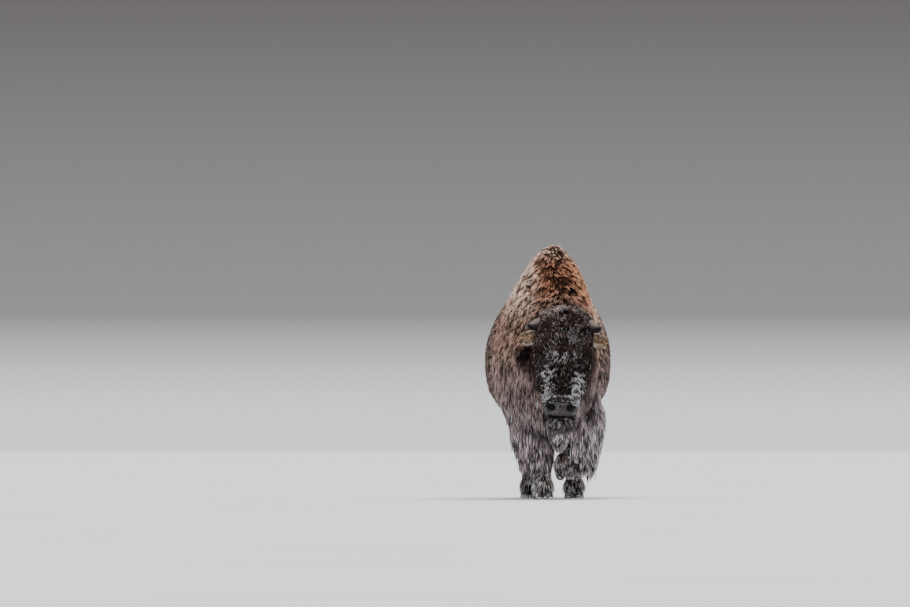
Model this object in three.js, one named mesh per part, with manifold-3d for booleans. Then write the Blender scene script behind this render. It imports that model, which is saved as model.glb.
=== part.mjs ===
// A full-size walking bison bull in winter coat: solids of the outline of its coat, in millimetres.
// X runs to the animal's left, -Y is the way it walks, +Z is up, and the planted soles stand at Z = 0.

import * as THREE from 'three';
import { ParametricGeometry } from 'three/addons/geometries/ParametricGeometry.js';
import { mergeVertices } from 'three/addons/utils/BufferGeometryUtils.js';
import ManifoldModule from 'manifold-3d';

const wasm = await ManifoldModule();
wasm.setup();
const { Manifold } = wasm;

// ---- driving dimensions -------------------------------------------------------------------------

const GAP = 0.3;              // clearance left between neighbouring solids
const HUMP_HEIGHT = 1800;     // top of the hump above the ground
const RUMP_REACH = 1300;      // rear end of the rump behind the origin
const NECK_REACH = 1080;      // front end of the neck, inside the head
const NECK_CUT = 830;         // where neck and shoulders part, ahead of the origin
const BARREL_CUT = -40;       // where shoulders and barrel part
const RUMP_CUT = -720;        // where barrel and rump part

const POLL = new THREE.Vector3(118, -1032, 1290);   // top of the skull
const FACE_TILT = THREE.MathUtils.degToRad(14);     // nose carried ahead of the poll
const FACE_ROLL = THREE.MathUtils.degToRad(2.5);    // crown leaned to the animal's left

const EYE_RADIUS = 19;
const HORN_BASE_RADIUS = 42;
const HORN_TIP_RADIUS = 7;
const CLAW_HALF_GAP = 4;      // half the cleft between the two claws of a hoof, at their soles
const SOLE_HEIGHT = 88;       // height of a claw above its sole

// ---- colours ------------------------------------------------------------------------------------

const finishes = {
  capeWool: new THREE.MeshStandardMaterial({ color: 0x6f5342, roughness: 0.95, metalness: 0 }),
  bodyHair: new THREE.MeshStandardMaterial({ color: 0x5a4940, roughness: 0.9, metalness: 0 }),
  headWool: new THREE.MeshStandardMaterial({ color: 0x30251f, roughness: 0.95, metalness: 0 }),
  legHair: new THREE.MeshStandardMaterial({ color: 0x453833, roughness: 0.9, metalness: 0 }),
  earHair: new THREE.MeshStandardMaterial({ color: 0x8a6a4c, roughness: 0.9, metalness: 0 }),
  horn: new THREE.MeshStandardMaterial({ color: 0x2b2a2a, roughness: 0.45, metalness: 0 }),
  noseSkin: new THREE.MeshStandardMaterial({ color: 0x34302f, roughness: 0.5, metalness: 0 }),
  hoof: new THREE.MeshStandardMaterial({ color: 0x1f1c1b, roughness: 0.55, metalness: 0 }),
  eye: new THREE.MeshStandardMaterial({ color: 0x0d0805, roughness: 0.1, metalness: 0 }),
};

// ---- frames: local (side, front or up, along) set in the object's own axes ------------------------

// Sections stand across the body, and the length runs forward.
const bodyFrame = () => new THREE.Matrix4().makeBasis(
  new THREE.Vector3(1, 0, 0), new THREE.Vector3(0, 0, 1), new THREE.Vector3(0, -1, 0));

// Sections lie level, and the length runs down.
const limbFrame = () => new THREE.Matrix4().makeBasis(
  new THREE.Vector3(1, 0, 0), new THREE.Vector3(0, -1, 0), new THREE.Vector3(0, 0, -1));

// Sections lie across the face, and the length runs from the poll to the nose.
function headFrame() {
  const frame = limbFrame();
  frame.premultiply(new THREE.Matrix4().makeRotationX(-FACE_TILT));
  frame.premultiply(new THREE.Matrix4().makeRotationY(FACE_ROLL));
  frame.setPosition(POLL);
  return frame;
}

// ---- lofts --------------------------------------------------------------------------------------

// Smooth reading of a station table at one place along it (Catmull-Rom in every column).
function readStations(rows, along) {
  let k = 0;
  while (k < rows.length - 2 && along > rows[k + 1][0]) k += 1;
  const near = rows[k];
  const far = rows[k + 1];
  const before = rows[Math.max(0, k - 1)];
  const after = rows[Math.min(rows.length - 1, k + 2)];
  const span = far[0] - near[0];
  const t = THREE.MathUtils.clamp((along - near[0]) / span, 0, 1);
  return near.map((value, c) => {
    const startSlope = (far[c] - before[c]) / (far[0] - before[0]) * span;
    const endSlope = (after[c] - near[c]) / (after[0] - near[0]) * span;
    const t2 = t * t;
    const t3 = t2 * t;
    return value * (2 * t3 - 3 * t2 + 1) + startSlope * (t3 - 2 * t2 + t)
      + far[c] * (3 * t2 - 2 * t3) + endSlope * (t3 - t2);
  });
}

// Places of the rings: close together in a rounded end, even between, and doubled at a flat end.
function ringPlaces(start, end, startRound, endRound, rings) {
  const quarter = [0, 0.42];
  const places = [];
  if (startRound > 0) {
    quarter.forEach((q) => places.push(start + startRound * (1 - Math.cos(q * Math.PI / 2))));
  } else {
    places.push(start);
  }
  const from = start + startRound;
  const to = end - endRound;
  for (let i = 0; i <= rings; i += 1) places.push(from + (to - from) * i / rings);
  if (endRound > 0) {
    quarter.slice().reverse().forEach((q) => places.push(end - endRound * (1 - Math.cos(q * Math.PI / 2))));
  } else {
    places.push(end);
  }
  return places;
}

// Size of a section inside a rounded end, from 0 at the very end to 1.
function endScale(along, start, end, startRound, endRound) {
  const intoStart = startRound > 0 ? Math.min(1, (along - start) / startRound) : 1;
  const intoEnd = endRound > 0 ? Math.min(1, (end - along) / endRound) : 1;
  return Math.sqrt(1 - (1 - intoStart) ** 2) * Math.sqrt(1 - (1 - intoEnd) ** 2);
}

// A closed body strung along a length. Each station is
// [along, side, level, halfWidth, rise, drop, risePower, dropPower, lean].
function loft(rows, { rings = 10, segments = 20, startRound = 0, endRound = 0, grow = 0 }) {
  const start = rows[0][0] - grow;
  const end = rows[rows.length - 1][0] + grow;
  const places = ringPlaces(start, end, startRound, endRound, rings);
  const last = places.length - 1;
  const shape = (u, v, target) => {
    const ring = Math.round(v * last);
    const along = places[ring];
    const [, side, level, half, rise, drop, risePower, dropPower, lean] = readStations(rows, along);
    const pole = ring === 0 || ring === last;
    const scale = pole ? 0 : endScale(along, start, end, startRound, endRound);
    const turn = u * 2 * Math.PI;
    const c = Math.cos(turn);
    const s = Math.sin(turn);
    const upper = s >= 0;
    const power = 2 / (upper ? risePower : dropPower);
    const across = Math.sign(c) * Math.abs(c) ** power;
    const height = Math.sign(s) * Math.abs(s) ** power;
    const reach = (upper ? rise : drop) + grow;
    const sway = upper ? lean * height * scale : 0;
    target.set(side + sway + across * (half + grow) * scale, level + height * reach * scale, along);
  };
  return welded(new ParametricGeometry(shape, segments, last));
}

// A tapered round rod along a smooth curve, with rounded ends.
function rod(points, radii, { rings = 10, segments = 12, grow = 0 }) {
  const curve = new THREE.CatmullRomCurve3(points.map((p) => new THREE.Vector3(...p)));
  const last = rings + 4;
  const steps = [0, 0.02, 0.06];
  const placeOf = (ring) => {
    if (ring <= 2) return steps[ring];
    if (ring >= last - 2) return 1 - steps[last - ring];
    return 0.06 + 0.88 * (ring - 2) / (last - 4);
  };
  const caps = [0, 0.7, 1];
  const shape = (u, v, target) => {
    const ring = Math.round(v * last);
    const t = placeOf(ring);
    const cap = caps[Math.min(2, ring, last - ring)];
    const k = t * (radii.length - 1);
    const low = Math.min(radii.length - 2, Math.floor(k));
    const radius = THREE.MathUtils.lerp(radii[low], radii[low + 1], k - low) + grow;
    const tangent = curve.getTangent(t);
    const first = new THREE.Vector3(0, 0, 1);
    if (Math.abs(tangent.z) > 0.9) first.set(0, 1, 0);
    const across = new THREE.Vector3().crossVectors(first, tangent).normalize();
    const over = new THREE.Vector3().crossVectors(tangent, across);
    const turn = u * 2 * Math.PI;
    target.copy(curve.getPoint(t));
    target.addScaledVector(across, radius * cap * Math.cos(turn));
    target.addScaledVector(over, radius * cap * Math.sin(turn));
  };
  return welded(new ParametricGeometry(shape, segments, last));
}

// One closed skin: equal points joined, and the empty triangles at the poles left out.
function welded(geometry) {
  geometry.deleteAttribute('normal');
  geometry.deleteAttribute('uv');
  const joined = mergeVertices(geometry, 1e-4);
  const index = joined.getIndex().array;
  const kept = [];
  for (let i = 0; i < index.length; i += 3) {
    const [a, b, c] = [index[i], index[i + 1], index[i + 2]];
    if (a !== b && b !== c && c !== a) kept.push(a, b, c);
  }
  joined.setIndex(kept);
  return joined;
}

// ---- solids -------------------------------------------------------------------------------------

function solid(geometry, frame = new THREE.Matrix4()) {
  const placed = geometry.clone().applyMatrix4(frame);
  const mesh = new wasm.Mesh({
    numProp: 3,
    vertProperties: Float32Array.from(placed.getAttribute('position').array),
    triVerts: Uint32Array.from(placed.getIndex().array),
  });
  return new Manifold(mesh);
}

// A box that keeps only what lies between two places along the body.
function slab(fromForward, toForward) {
  const geometry = new THREE.BoxGeometry(2400, toForward - fromForward, 4000);
  geometry.translate(0, -(fromForward + toForward) / 2, 1000);
  return solid(welded(geometry));
}

// The solid with every cutter taken away from it.
function less(body, ...cutters) {
  return cutters.reduce((rest, cutter) => rest.subtract(cutter), body);
}

function meshOf(name, body, finish) {
  const { vertProperties, triVerts, numProp } = body.getMesh();
  const positions = new Float32Array(vertProperties.length / numProp * 3);
  for (let i = 0; i < positions.length / 3; i += 1) {
    for (let c = 0; c < 3; c += 1) positions[3 * i + c] = vertProperties[i * numProp + c];
  }
  const geometry = new THREE.BufferGeometry();
  geometry.setAttribute('position', new THREE.BufferAttribute(positions, 3));
  geometry.setIndex(Array.from(triVerts));
  geometry.computeVertexNormals();
  const mesh = new THREE.Mesh(geometry, finish);
  mesh.name = name;
  return mesh;
}

// ---- trunk and neck -----------------------------------------------------------------------------

// Stations of the trunk from the rump forward, with the cape and the belly fringe in its outline.
const TRUNK = [
  // along, side, level, half, rise, drop, risePower, dropPower, lean
  [-RUMP_REACH, -14, 1060, 215, 170, 190, 2.1, 2.1, 0],
  [-1180, -14, 1060, 285, 235, 225, 2.1, 2.2, 0],
  [-1000, -12, 1060, 345, 305, 262, 2.1, 2.4, 0],
  [-800, -8, 1045, 388, 350, 290, 2.0, 2.6, 0],
  [-600, -4, 1025, 425, 400, 335, 2.0, 2.8, 0],
  [-400, 0, 1012, 446, 465, 360, 1.95, 3.0, 2],
  [-200, 0, 1008, 450, 552, 375, 1.85, 3.0, 8],
  [0, -3, 1005, 430, 665, 398, 1.65, 3.0, 24],
  [200, -8, 1000, 388, 765, 450, 1.58, 2.8, 44],
  [400, -12, 1000, 360, HUMP_HEIGHT - 1000, 515, 1.62, 2.6, 56],
  [560, 4, 1000, 346, 740, 500, 1.7, 2.6, 48],
  [700, 34, 1015, 322, 610, 455, 1.8, 2.4, 34],
  [860, 74, 1045, 278, 440, 400, 1.9, 2.2, 16],
  [1000, 104, 1075, 218, 300, 335, 2.0, 2.0, 8],
  [NECK_REACH, 112, 1085, 170, 230, 260, 2.0, 2.0, 6],
];

function trunkSolid(grow) {
  const geometry = loft(TRUNK, { rings: 18, segments: 28, startRound: 130, endRound: 90, grow });
  return solid(geometry, bodyFrame());
}

// ---- head ---------------------------------------------------------------------------------------

// Stations from above the poll to the chin: rise is towards the face, drop towards the throat.
const HEAD = [
  [-50, 6, 0, 150, 125, 120, 2.2, 2.2, 0],
  [40, 3, 0, 178, 140, 140, 2.2, 2.2, 0],
  [190, 0, 0, 206, 158, 195, 2.2, 2.1, 0],
  [310, 0, 0, 212, 146, 220, 2.3, 2.0, 0],
  [430, 0, 0, 194, 126, 205, 2.3, 2.0, 0],
  [550, 0, 0, 166, 108, 165, 2.3, 2.1, 0],
  [640, 0, 0, 132, 96, 130, 2.3, 2.2, 0],
  [715, 0, 0, 112, 76, 112, 2.4, 2.2, 0],
  [765, 0, 0, 88, 40, 98, 2.2, 2.2, 0],
  [810, 0, 0, 70, 20, 84, 2.0, 2.0, 0],
];

// The wool cap over the forehead, standing prouder than the face below it.
const CROWN = [
  [-82, 8, 0, 120, 120, 105, 2.0, 2.0, 0],
  [0, 5, 0, 190, 185, 150, 2.2, 2.2, 0],
  [90, 2, 0, 215, 208, 178, 2.2, 2.2, 0],
  [190, 0, 0, 216, 196, 208, 2.2, 2.2, 0],
  [262, 0, 0, 206, 158, 212, 2.0, 2.0, 0],
];

const NOSE = [
  [606, 0, 58, 78, 48, 40, 2.2, 2.2, 0],
  [656, 0, 50, 106, 62, 40, 2.4, 2.4, 0],
  [704, 0, 42, 110, 60, 40, 2.4, 2.4, 0],
  [744, 0, 34, 84, 44, 36, 2.2, 2.2, 0],
];

const BEARD = [
  [560, 100, 1052, 95, 70, 130, 2.0, 2.0, 0],
  [650, 95, 1077, 100, 85, 160, 2.0, 2.0, 0],
  [730, 92, 1107, 104, 105, 190, 2.0, 2.0, 0],
  [800, 86, 1117, 94, 102, 180, 2.0, 2.0, 0],
  [860, 78, 1112, 64, 76, 130, 2.0, 2.0, 0],
  [900, 72, 1102, 32, 40, 64, 2.0, 2.0, 0],
];

const headSolid = (grow) => solid(
  loft(HEAD, { rings: 9, segments: 20, startRound: 70, endRound: 45, grow }), headFrame());

const crownSolid = (grow) => solid(
  loft(CROWN, { rings: 4, segments: 20, startRound: 70, endRound: 26, grow }), headFrame());

const noseSolid = (grow) => solid(
  loft(NOSE, { rings: 3, segments: 16, startRound: 24, endRound: 24, grow }), headFrame());

// The beard hangs straight down, measured from the height of the poll.
function beardSolid() {
  const frame = limbFrame();
  frame.setPosition(0, 0, POLL.z);
  return solid(loft(BEARD, { rings: 4, segments: 14, startRound: 30, endRound: 24 }), frame);
}

const EYE_SPOT = { side: 157, front: 90, along: 352 };

function eyeSolid(hand, grow) {
  const geometry = new THREE.SphereGeometry(EYE_RADIUS + grow, 10, 7);
  geometry.translate(hand * EYE_SPOT.side, EYE_SPOT.front, EYE_SPOT.along);
  return solid(welded(geometry), headFrame());
}

// A short stout horn: out of the wool sideways and a little down, then forward and up at the tip.
function hornSolid(hand, grow) {
  const path = [
    [hand * 132, 46, 78],
    [hand * 192, 58, 98],
    [hand * 236, 98, 124],
    [hand * 256, 158, 134],
  ];
  const radii = [HORN_BASE_RADIUS, HORN_BASE_RADIUS - 4, 26, HORN_TIP_RADIUS];
  return solid(rod(path, radii, { rings: 5, segments: 10, grow }), headFrame());
}

// The ear is a leaf reaching sideways and back, hollow side to the front.
const EAR = [
  [0, 0, 0, 34, 16, 20, 2.0, 2.0, 0],
  [45, 0, 0, 54, 16, 24, 2.0, 2.0, 0],
  [100, 0, 0, 50, 14, 22, 2.0, 2.0, 0],
  [150, 0, 0, 28, 10, 14, 2.0, 2.0, 0],
];

const EAR_ROOT = { side: 168, front: -24, along: 150 };
const EAR_SWEEP = THREE.MathUtils.degToRad(12);   // swept back
const EAR_DROOP = THREE.MathUtils.degToRad(10);   // hanging below level

function earSolid(hand, grow) {
  const out = new THREE.Vector3(Math.cos(EAR_SWEEP), -Math.sin(EAR_SWEEP), Math.sin(EAR_DROOP)).normalize();
  const face = new THREE.Vector3(0.15, 1, -0.3);
  face.addScaledVector(out, -face.dot(out)).normalize();
  const edge = new THREE.Vector3().crossVectors(face, out);
  const frame = new THREE.Matrix4().makeBasis(edge, face, out);
  frame.setPosition(EAR_ROOT.side, EAR_ROOT.front, EAR_ROOT.along);
  const geometry = loft(EAR, { rings: 4, segments: 12, startRound: 20, endRound: 40, grow });
  geometry.applyMatrix4(frame);
  return solid(handed(geometry, hand), headFrame());
}

// The geometry itself for the left side, or its mirror image for the right.
function handed(geometry, hand) {
  if (hand > 0) return geometry;
  const mirrored = geometry.clone().scale(-1, 1, 1);
  const index = mirrored.getIndex().array;
  for (let i = 0; i < index.length; i += 3) [index[i], index[i + 1]] = [index[i + 1], index[i]];
  return mirrored;
}

// ---- legs ---------------------------------------------------------------------------------------

// Every leg is measured down from the ground plane upwards, so along is minus the height.
const LEGS = {
  fore_right: {
    upper: [
      [-880, -190, 430, 120, 150, 170, 2.2, 2.2, 0],
      [-760, -168, 440, 140, 165, 170, 2.2, 2.2, 0],
      [-610, -138, 450, 152, 160, 150, 2.2, 2.2, 0],
      [-476, -124, 455, 149, 142, 130, 2.2, 2.2, 0],
      [-380, -102, 458, 142, 125, 112, 2.2, 2.2, 0],
      [-300, -88, 460, 122, 104, 96, 2.1, 2.1, 0],
      [-240, -80, 462, 100, 82, 80, 2.0, 2.0, 0],
    ],
    lower: [
      [-268, -52, 458, 60, 58, 57, 2.0, 2.0, 0],
      [-235, -45, 460, 60, 56, 56, 2.0, 2.0, 0],
      [-190, -40, 466, 66, 60, 62, 2.0, 2.0, 0],
      [-140, -38, 474, 68, 62, 66, 2.1, 2.1, 0],
      [-84, -36, 484, 66, 66, 66, 2.2, 2.2, 0],
    ],
    foot: { side: -36, forward: 498, width: 1.0, pitch: 0, lift: 0 },
  },
  fore_left: {
    upper: [
      [-880, 205, 450, 120, 160, 165, 2.2, 2.2, 0],
      [-760, 226, 470, 142, 175, 160, 2.2, 2.2, 0],
      [-620, 246, 500, 157, 165, 145, 2.2, 2.2, 0],
      [-476, 242, 535, 154, 145, 130, 2.2, 2.2, 0],
      [-380, 236, 555, 143, 130, 115, 2.2, 2.2, 0],
      [-300, 230, 562, 128, 104, 100, 2.1, 2.1, 0],
      [-248, 224, 562, 112, 82, 84, 2.0, 2.0, 0],
    ],
    lower: [
      [-330, 146, 574, 70, 64, 62, 2.0, 2.0, 0],
      [-275, 128, 548, 80, 72, 70, 2.0, 2.0, 0],
      [-225, 125, 514, 78, 62, 66, 2.0, 2.0, 0],
      [-188, 125, 486, 66, 44, 56, 2.0, 2.0, 0],
    ],
    foot: { side: 125, forward: 446, width: 0.94, pitch: 50, lift: 190 },
  },
  hind_right: {
    upper: [
      [-1210, -170, -1000, 80, 150, 130, 2.2, 2.2, 0],
      [-1060, -218, -1006, 112, 220, 190, 2.2, 2.2, 0],
      [-900, -232, -1010, 142, 245, 246, 2.2, 2.2, 0],
      [-760, -204, -1040, 112, 195, 190, 2.1, 2.1, 0],
      [-650, -176, -1095, 86, 128, 128, 2.0, 2.0, 0],
      [-560, -160, -1160, 70, 84, 96, 2.0, 2.0, 0],
    ],
    lower: [
      [-585, -162, -1153, 60, 70, 80, 2.0, 2.0, 0],
      [-520, -152, -1176, 58, 62, 76, 2.0, 2.0, 0],
      [-430, -143, -1180, 52, 54, 60, 2.0, 2.0, 0],
      [-300, -134, -1166, 50, 50, 52, 2.0, 2.0, 0],
      [-190, -129, -1144, 60, 58, 60, 2.0, 2.0, 0],
      [-84, -128, -1120, 62, 60, 64, 2.1, 2.1, 0],
    ],
    foot: { side: -128, forward: -1104, width: 0.94, pitch: 0, lift: 0 },
  },
  hind_left: {
    upper: [
      [-1210, 160, -970, 80, 150, 150, 2.2, 2.2, 0],
      [-1060, 208, -930, 112, 225, 230, 2.2, 2.2, 0],
      [-900, 226, -880, 142, 250, 260, 2.2, 2.2, 0],
      [-760, 212, -835, 114, 195, 205, 2.1, 2.1, 0],
      [-650, 202, -820, 88, 130, 138, 2.0, 2.0, 0],
      [-560, 196, -828, 70, 86, 98, 2.0, 2.0, 0],
    ],
    lower: [
      [-585, 197, -822, 62, 72, 82, 2.0, 2.0, 0],
      [-520, 194, -824, 58, 62, 78, 2.0, 2.0, 0],
      [-430, 190, -790, 54, 54, 60, 2.0, 2.0, 0],
      [-300, 186, -710, 52, 52, 54, 2.0, 2.0, 0],
      [-190, 186, -634, 60, 60, 62, 2.0, 2.0, 0],
      [-84, 188, -590, 64, 62, 66, 2.1, 2.1, 0],
    ],
    foot: { side: 188, forward: -574, width: 0.94, pitch: 0, lift: 0 },
  },
};

const upperLegSolid = (leg, grow) => solid(
  loft(leg.upper, { rings: 5, segments: 14, startRound: 60, endRound: 40, grow }), limbFrame());

const lowerLegSolid = (leg, grow) => solid(
  loft(leg.lower, { rings: 5, segments: 12, startRound: 0, endRound: 14, grow }), limbFrame());

// One claw of a hoof, from its top down to a flat sole; the toe is ahead of the top.
const CLAW = [
  [-SOLE_HEIGHT, 31, -18, 27, 30, 40, 2.2, 2.2, 0],
  [-60, 34, -4, 33, 46, 50, 2.3, 2.3, 0],
  [-25, 36, 4, 36, 58, 56, 2.5, 2.5, 0],
  [0, 37, 8, 36, 64, 56, 2.5, 2.5, 0],
];

const DEWCLAW = [
  [-34, 0, 0, 11, 12, 10, 2.0, 2.0, 0],
  [-14, 0, -6, 14, 14, 13, 2.0, 2.0, 0],
  [0, 0, -14, 7, 8, 7, 2.0, 2.0, 0],
];

// Where a foot stands: its middle, how far it is lifted, and how far its toe points down.
function footFrame(foot) {
  const frame = limbFrame();
  frame.premultiply(new THREE.Matrix4().makeRotationX(THREE.MathUtils.degToRad(foot.pitch)));
  frame.setPosition(foot.side, -foot.forward, foot.lift);
  return frame;
}

function clawSolid(foot, hand, grow) {
  const geometry = loft(CLAW, { rings: 1, segments: 12, startRound: 14, grow });
  geometry.scale(foot.width, 1, 1);
  geometry.translate(CLAW_HALF_GAP - 2, 0, 0);
  return solid(handed(geometry, hand), footFrame(foot));
}

function dewclawSolid(foot, hand, grow) {
  const geometry = loft(DEWCLAW, { rings: 1, segments: 8, startRound: 8, endRound: 8, grow });
  geometry.translate(hand * 30, -78, -96);
  return solid(geometry, footFrame(foot));
}

// ---- tail ---------------------------------------------------------------------------------------

const tailSolid = (grow) => solid(rod(
  [[-14, 1190, 1258], [-16, 1274, 1190], [-20, 1296, 1020], [-26, 1290, 830]],
  [44, 34, 27, 22], { rings: 5, segments: 10, grow }));

const TAIL_TUFT = [
  [-860, -25, -1291, 26, 26, 26, 2.0, 2.0, 0],
  [-780, -27, -1284, 40, 36, 36, 2.0, 2.0, 0],
  [-690, -29, -1280, 38, 34, 34, 2.0, 2.0, 0],
  [-590, -31, -1278, 12, 12, 12, 2.0, 2.0, 0],
];

const tuftSolid = (grow) => solid(
  loft(TAIL_TUFT, { rings: 2, segments: 10, startRound: 20, endRound: 20, grow }), limbFrame());

// A lock of the leg hair hanging outside the lifted foreleg.
const LEG_LOCK = [
  [-330, 290, 545, 40, 42, 42, 2.0, 2.0, 0],
  [-250, 295, 545, 34, 34, 34, 2.0, 2.0, 0],
  [-180, 292, 545, 12, 12, 12, 2.0, 2.0, 0],
];

const lockSolid = () => solid(
  loft(LEG_LOCK, { rings: 3, segments: 8, startRound: 20, endRound: 14 }), limbFrame());

// ---- assembly -----------------------------------------------------------------------------------

const bison = new THREE.Group();
bison.name = 'bison';

const add = (name, body, finish) => bison.add(meshOf(name, body, finishes[finish]));

function addTrunk() {
  const whole = trunkSolid(0);
  const headSpace = headSolid(GAP);
  const crownSpace = crownSolid(GAP);
  const half = GAP / 2;
  add('neck', less(whole.intersect(slab(NECK_CUT + half, 2000)), headSpace, crownSpace), 'capeWool');
  add('shoulders', whole.intersect(slab(BARREL_CUT + half, NECK_CUT - half)), 'capeWool');
  add('barrel', whole.intersect(slab(RUMP_CUT + half, BARREL_CUT - half)), 'bodyHair');
  add('rump', whole.intersect(slab(-2000, RUMP_CUT - half)), 'bodyHair');
}

function addHead() {
  const crownSpace = crownSolid(GAP);
  const noseSpace = noseSolid(GAP);
  const hands = [['left', 1], ['right', -1]];
  const eyes = hands.map(([, hand]) => eyeSolid(hand, GAP));
  const horns = hands.map(([, hand]) => hornSolid(hand, GAP));
  const ears = hands.map(([, hand]) => earSolid(hand, GAP));
  const trunkSpace = trunkSolid(GAP);
  const headSpace = headSolid(GAP);
  add('head', less(headSolid(0), crownSpace, noseSpace, ...eyes, ...horns, ...ears), 'headWool');
  add('crown', less(crownSolid(0), ...horns, ...ears), 'headWool');
  add('nose_pad', noseSolid(0), 'noseSkin');
  add('beard', less(beardSolid(), headSpace, noseSpace, trunkSpace), 'headWool');
  for (const [word, hand] of hands) {
    add(`eye_${word}`, eyeSolid(hand, 0), 'eye');
    add(`horn_${word}`, less(hornSolid(hand, 0), trunkSpace), 'horn');
    add(`ear_${word}`, less(earSolid(hand, 0), trunkSpace, hornSolid(hand, GAP)), 'earHair');
  }
}

function addLeg(name, leg) {
  const trunkSpace = trunkSolid(GAP);
  const lowerSpace = lowerLegSolid(leg, GAP);
  const outward = name.endsWith('left') ? 1 : -1;
  const claws = [['outer', outward], ['inner', -outward]];
  const clawSpaces = claws.map(([, hand]) => clawSolid(leg.foot, hand, GAP));
  const dewclawSpaces = claws.map(([, hand]) => dewclawSolid(leg.foot, hand, GAP));
  const lock = name === 'fore_left' ? [lockSolid()] : [];
  const upper = less(upperLegSolid(leg, 0), trunkSpace, lowerSpace, ...clawSpaces, ...dewclawSpaces);
  add(`${name}_upper`, upper, 'legHair');
  add(`${name}_lower`, less(lowerLegSolid(leg, 0), trunkSpace, ...clawSpaces), 'legHair');
  lock.forEach((body) => add(`${name}_lock`, less(body, upperLegSolid(leg, GAP)), 'legHair'));
  for (const [word, hand] of claws) {
    add(`${name}_claw_${word}`, clawSolid(leg.foot, hand, 0), 'hoof');
    add(`${name}_dewclaw_${word}`, less(dewclawSolid(leg.foot, hand, 0), lowerSpace), 'hoof');
  }
}

function addTail() {
  const trunkSpace = trunkSolid(GAP);
  add('tail', less(tailSolid(0), trunkSpace, tuftSolid(GAP)), 'bodyHair');
  add('tail_tuft', tuftSolid(0), 'headWool');
}

addTrunk();
addHead();
Object.entries(LEGS).forEach(([name, leg]) => addLeg(name, leg));
addTail();

export default bison;
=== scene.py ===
"""A walking bison bull in winter coat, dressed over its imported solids.

One skin replaces the solids of flesh and lies inside them by the depth of the coat.  Locks of hair
stand on that skin; eyes, horns, claws and dewclaws are pieces of their own.  The axes are the
frame's, in metres: X to the animal's left, -Y the way it walks, Z up from the ground.  Stations of
the lofted bodies are written in millimetres and turned into metres where they are read.
"""

import logging
import math
from dataclasses import dataclass, field, replace
from enum import IntEnum
from itertools import product

import bmesh
import bpy
import numpy as np
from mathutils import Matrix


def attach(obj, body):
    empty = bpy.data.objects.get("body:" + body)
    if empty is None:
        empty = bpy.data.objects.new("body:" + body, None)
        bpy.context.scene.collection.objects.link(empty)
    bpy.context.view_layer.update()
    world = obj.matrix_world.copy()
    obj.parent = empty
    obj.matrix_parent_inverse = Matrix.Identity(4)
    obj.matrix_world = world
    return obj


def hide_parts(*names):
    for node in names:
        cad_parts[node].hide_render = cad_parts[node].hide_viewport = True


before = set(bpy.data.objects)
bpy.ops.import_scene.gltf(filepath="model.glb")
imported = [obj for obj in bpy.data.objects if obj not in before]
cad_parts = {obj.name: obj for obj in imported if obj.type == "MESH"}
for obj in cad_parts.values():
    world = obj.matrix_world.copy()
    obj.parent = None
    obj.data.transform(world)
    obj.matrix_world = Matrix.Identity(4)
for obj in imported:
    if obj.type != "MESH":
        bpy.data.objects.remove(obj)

import openvdb
from mathutils import Vector

Array = np.ndarray
Pair = tuple[float, float]
Triple = tuple[float, float, float]
Shade = tuple[int, int, int]
Table = tuple[tuple[float, ...], tuple[float, ...]]
Object = bpy.types.Object
Material = bpy.types.Material
Socket = bpy.types.NodeSocket

LOG = logging.getLogger("bison")
MM = 0.001
UP = np.array([0.0, 0.0, 1.0])

# Large primes that stir the corners of the noise's lattice, and strides that number its cells.
NOISE_PRIMES = np.array([73856093, 19349663, 83492791])
NOISE_SEED_STEP = 2654435761
NOISE_STIR = 1274126177
NOISE_MASK = 0x7FFFFFFF
NOISE_LEVELS = 65521
CELL_STRIDES = np.array([1, 4096, 16777216])


class Pattern(IntEnum):
    """Numbers of the noise patterns, one for each marking."""

    CAPE_EDGE = 5
    CAPE_RAG = 6
    FROST_FINE = 11
    FROST_COARSE = 12
    LEATHER_SPECK = 21
    LEATHER_CREASE = 22
    HORN_STREAK = 31
    HOOF_TONE = 41
    RIME_EDGE = 42
    RIME_SPOT = 43
    MUZZLE_WRINKLE = 51


# ---- small helpers ----


def unit(vectors: Array) -> Array:
    """Vectors of length one along the given ones, whose last axis holds x, y and z."""
    return vectors / np.maximum(np.linalg.norm(vectors, axis=-1, keepdims=True), 1e-9)


def ease(low: float, high: float, value: Array) -> Array:
    """Smooth ramp 3t^2 - 2t^3 from 0 at low to 1 at high, which may lie below low."""
    t = np.clip((value - low) / (high - low), 0.0, 1.0)
    return t * t * (3.0 - 2.0 * t)


def linear(srgb: Shade) -> Array:
    """Linear light of an 8-bit display colour."""
    c = np.array(srgb, float) / 255.0
    return np.where(c <= 0.04045, c / 12.92, ((c + 0.055) / 1.055) ** 2.4)


def mix(a: Array, b: Array, t: Array) -> Array:
    """Blend of two colours by one weight per point, 0 for the first and 1 for the second."""
    t = np.asarray(t)[..., None]
    return a * (1.0 - t) + b * t


def value_noise(points: Array, size: float, pattern: Pattern) -> Array:
    """Smooth noise: random values on the corners of a lattice of cells, blended between them.

    Args:
        points: N x 3 places.
        size: Edge of a cell in metres.
        pattern: Which random values stand on the corners.

    Returns:
        N values from 0 to 1.
    """
    q = points / size
    cell = np.floor(q).astype(np.int64)
    t = q - cell
    t = t * t * (3.0 - 2.0 * t)
    total = np.zeros(len(points))
    for corner in range(8):
        step = np.array([corner & 1, corner >> 1 & 1, corner >> 2 & 1])
        key = ((cell + step) * NOISE_PRIMES).sum(1) + int(pattern) * NOISE_SEED_STEP
        key = (key ^ (key >> 13)) * NOISE_STIR & NOISE_MASK
        weight = np.prod(np.where(step, t, 1.0 - t), axis=1)
        total += weight * (key % NOISE_LEVELS) / NOISE_LEVELS
    return total


def cell_numbers(points: Array, size: float) -> Array:
    """One number for each place, shared by all the places in one cell of a lattice of that size."""
    return (np.floor(points / size).astype(np.int64) * CELL_STRIDES).sum(1)


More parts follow.
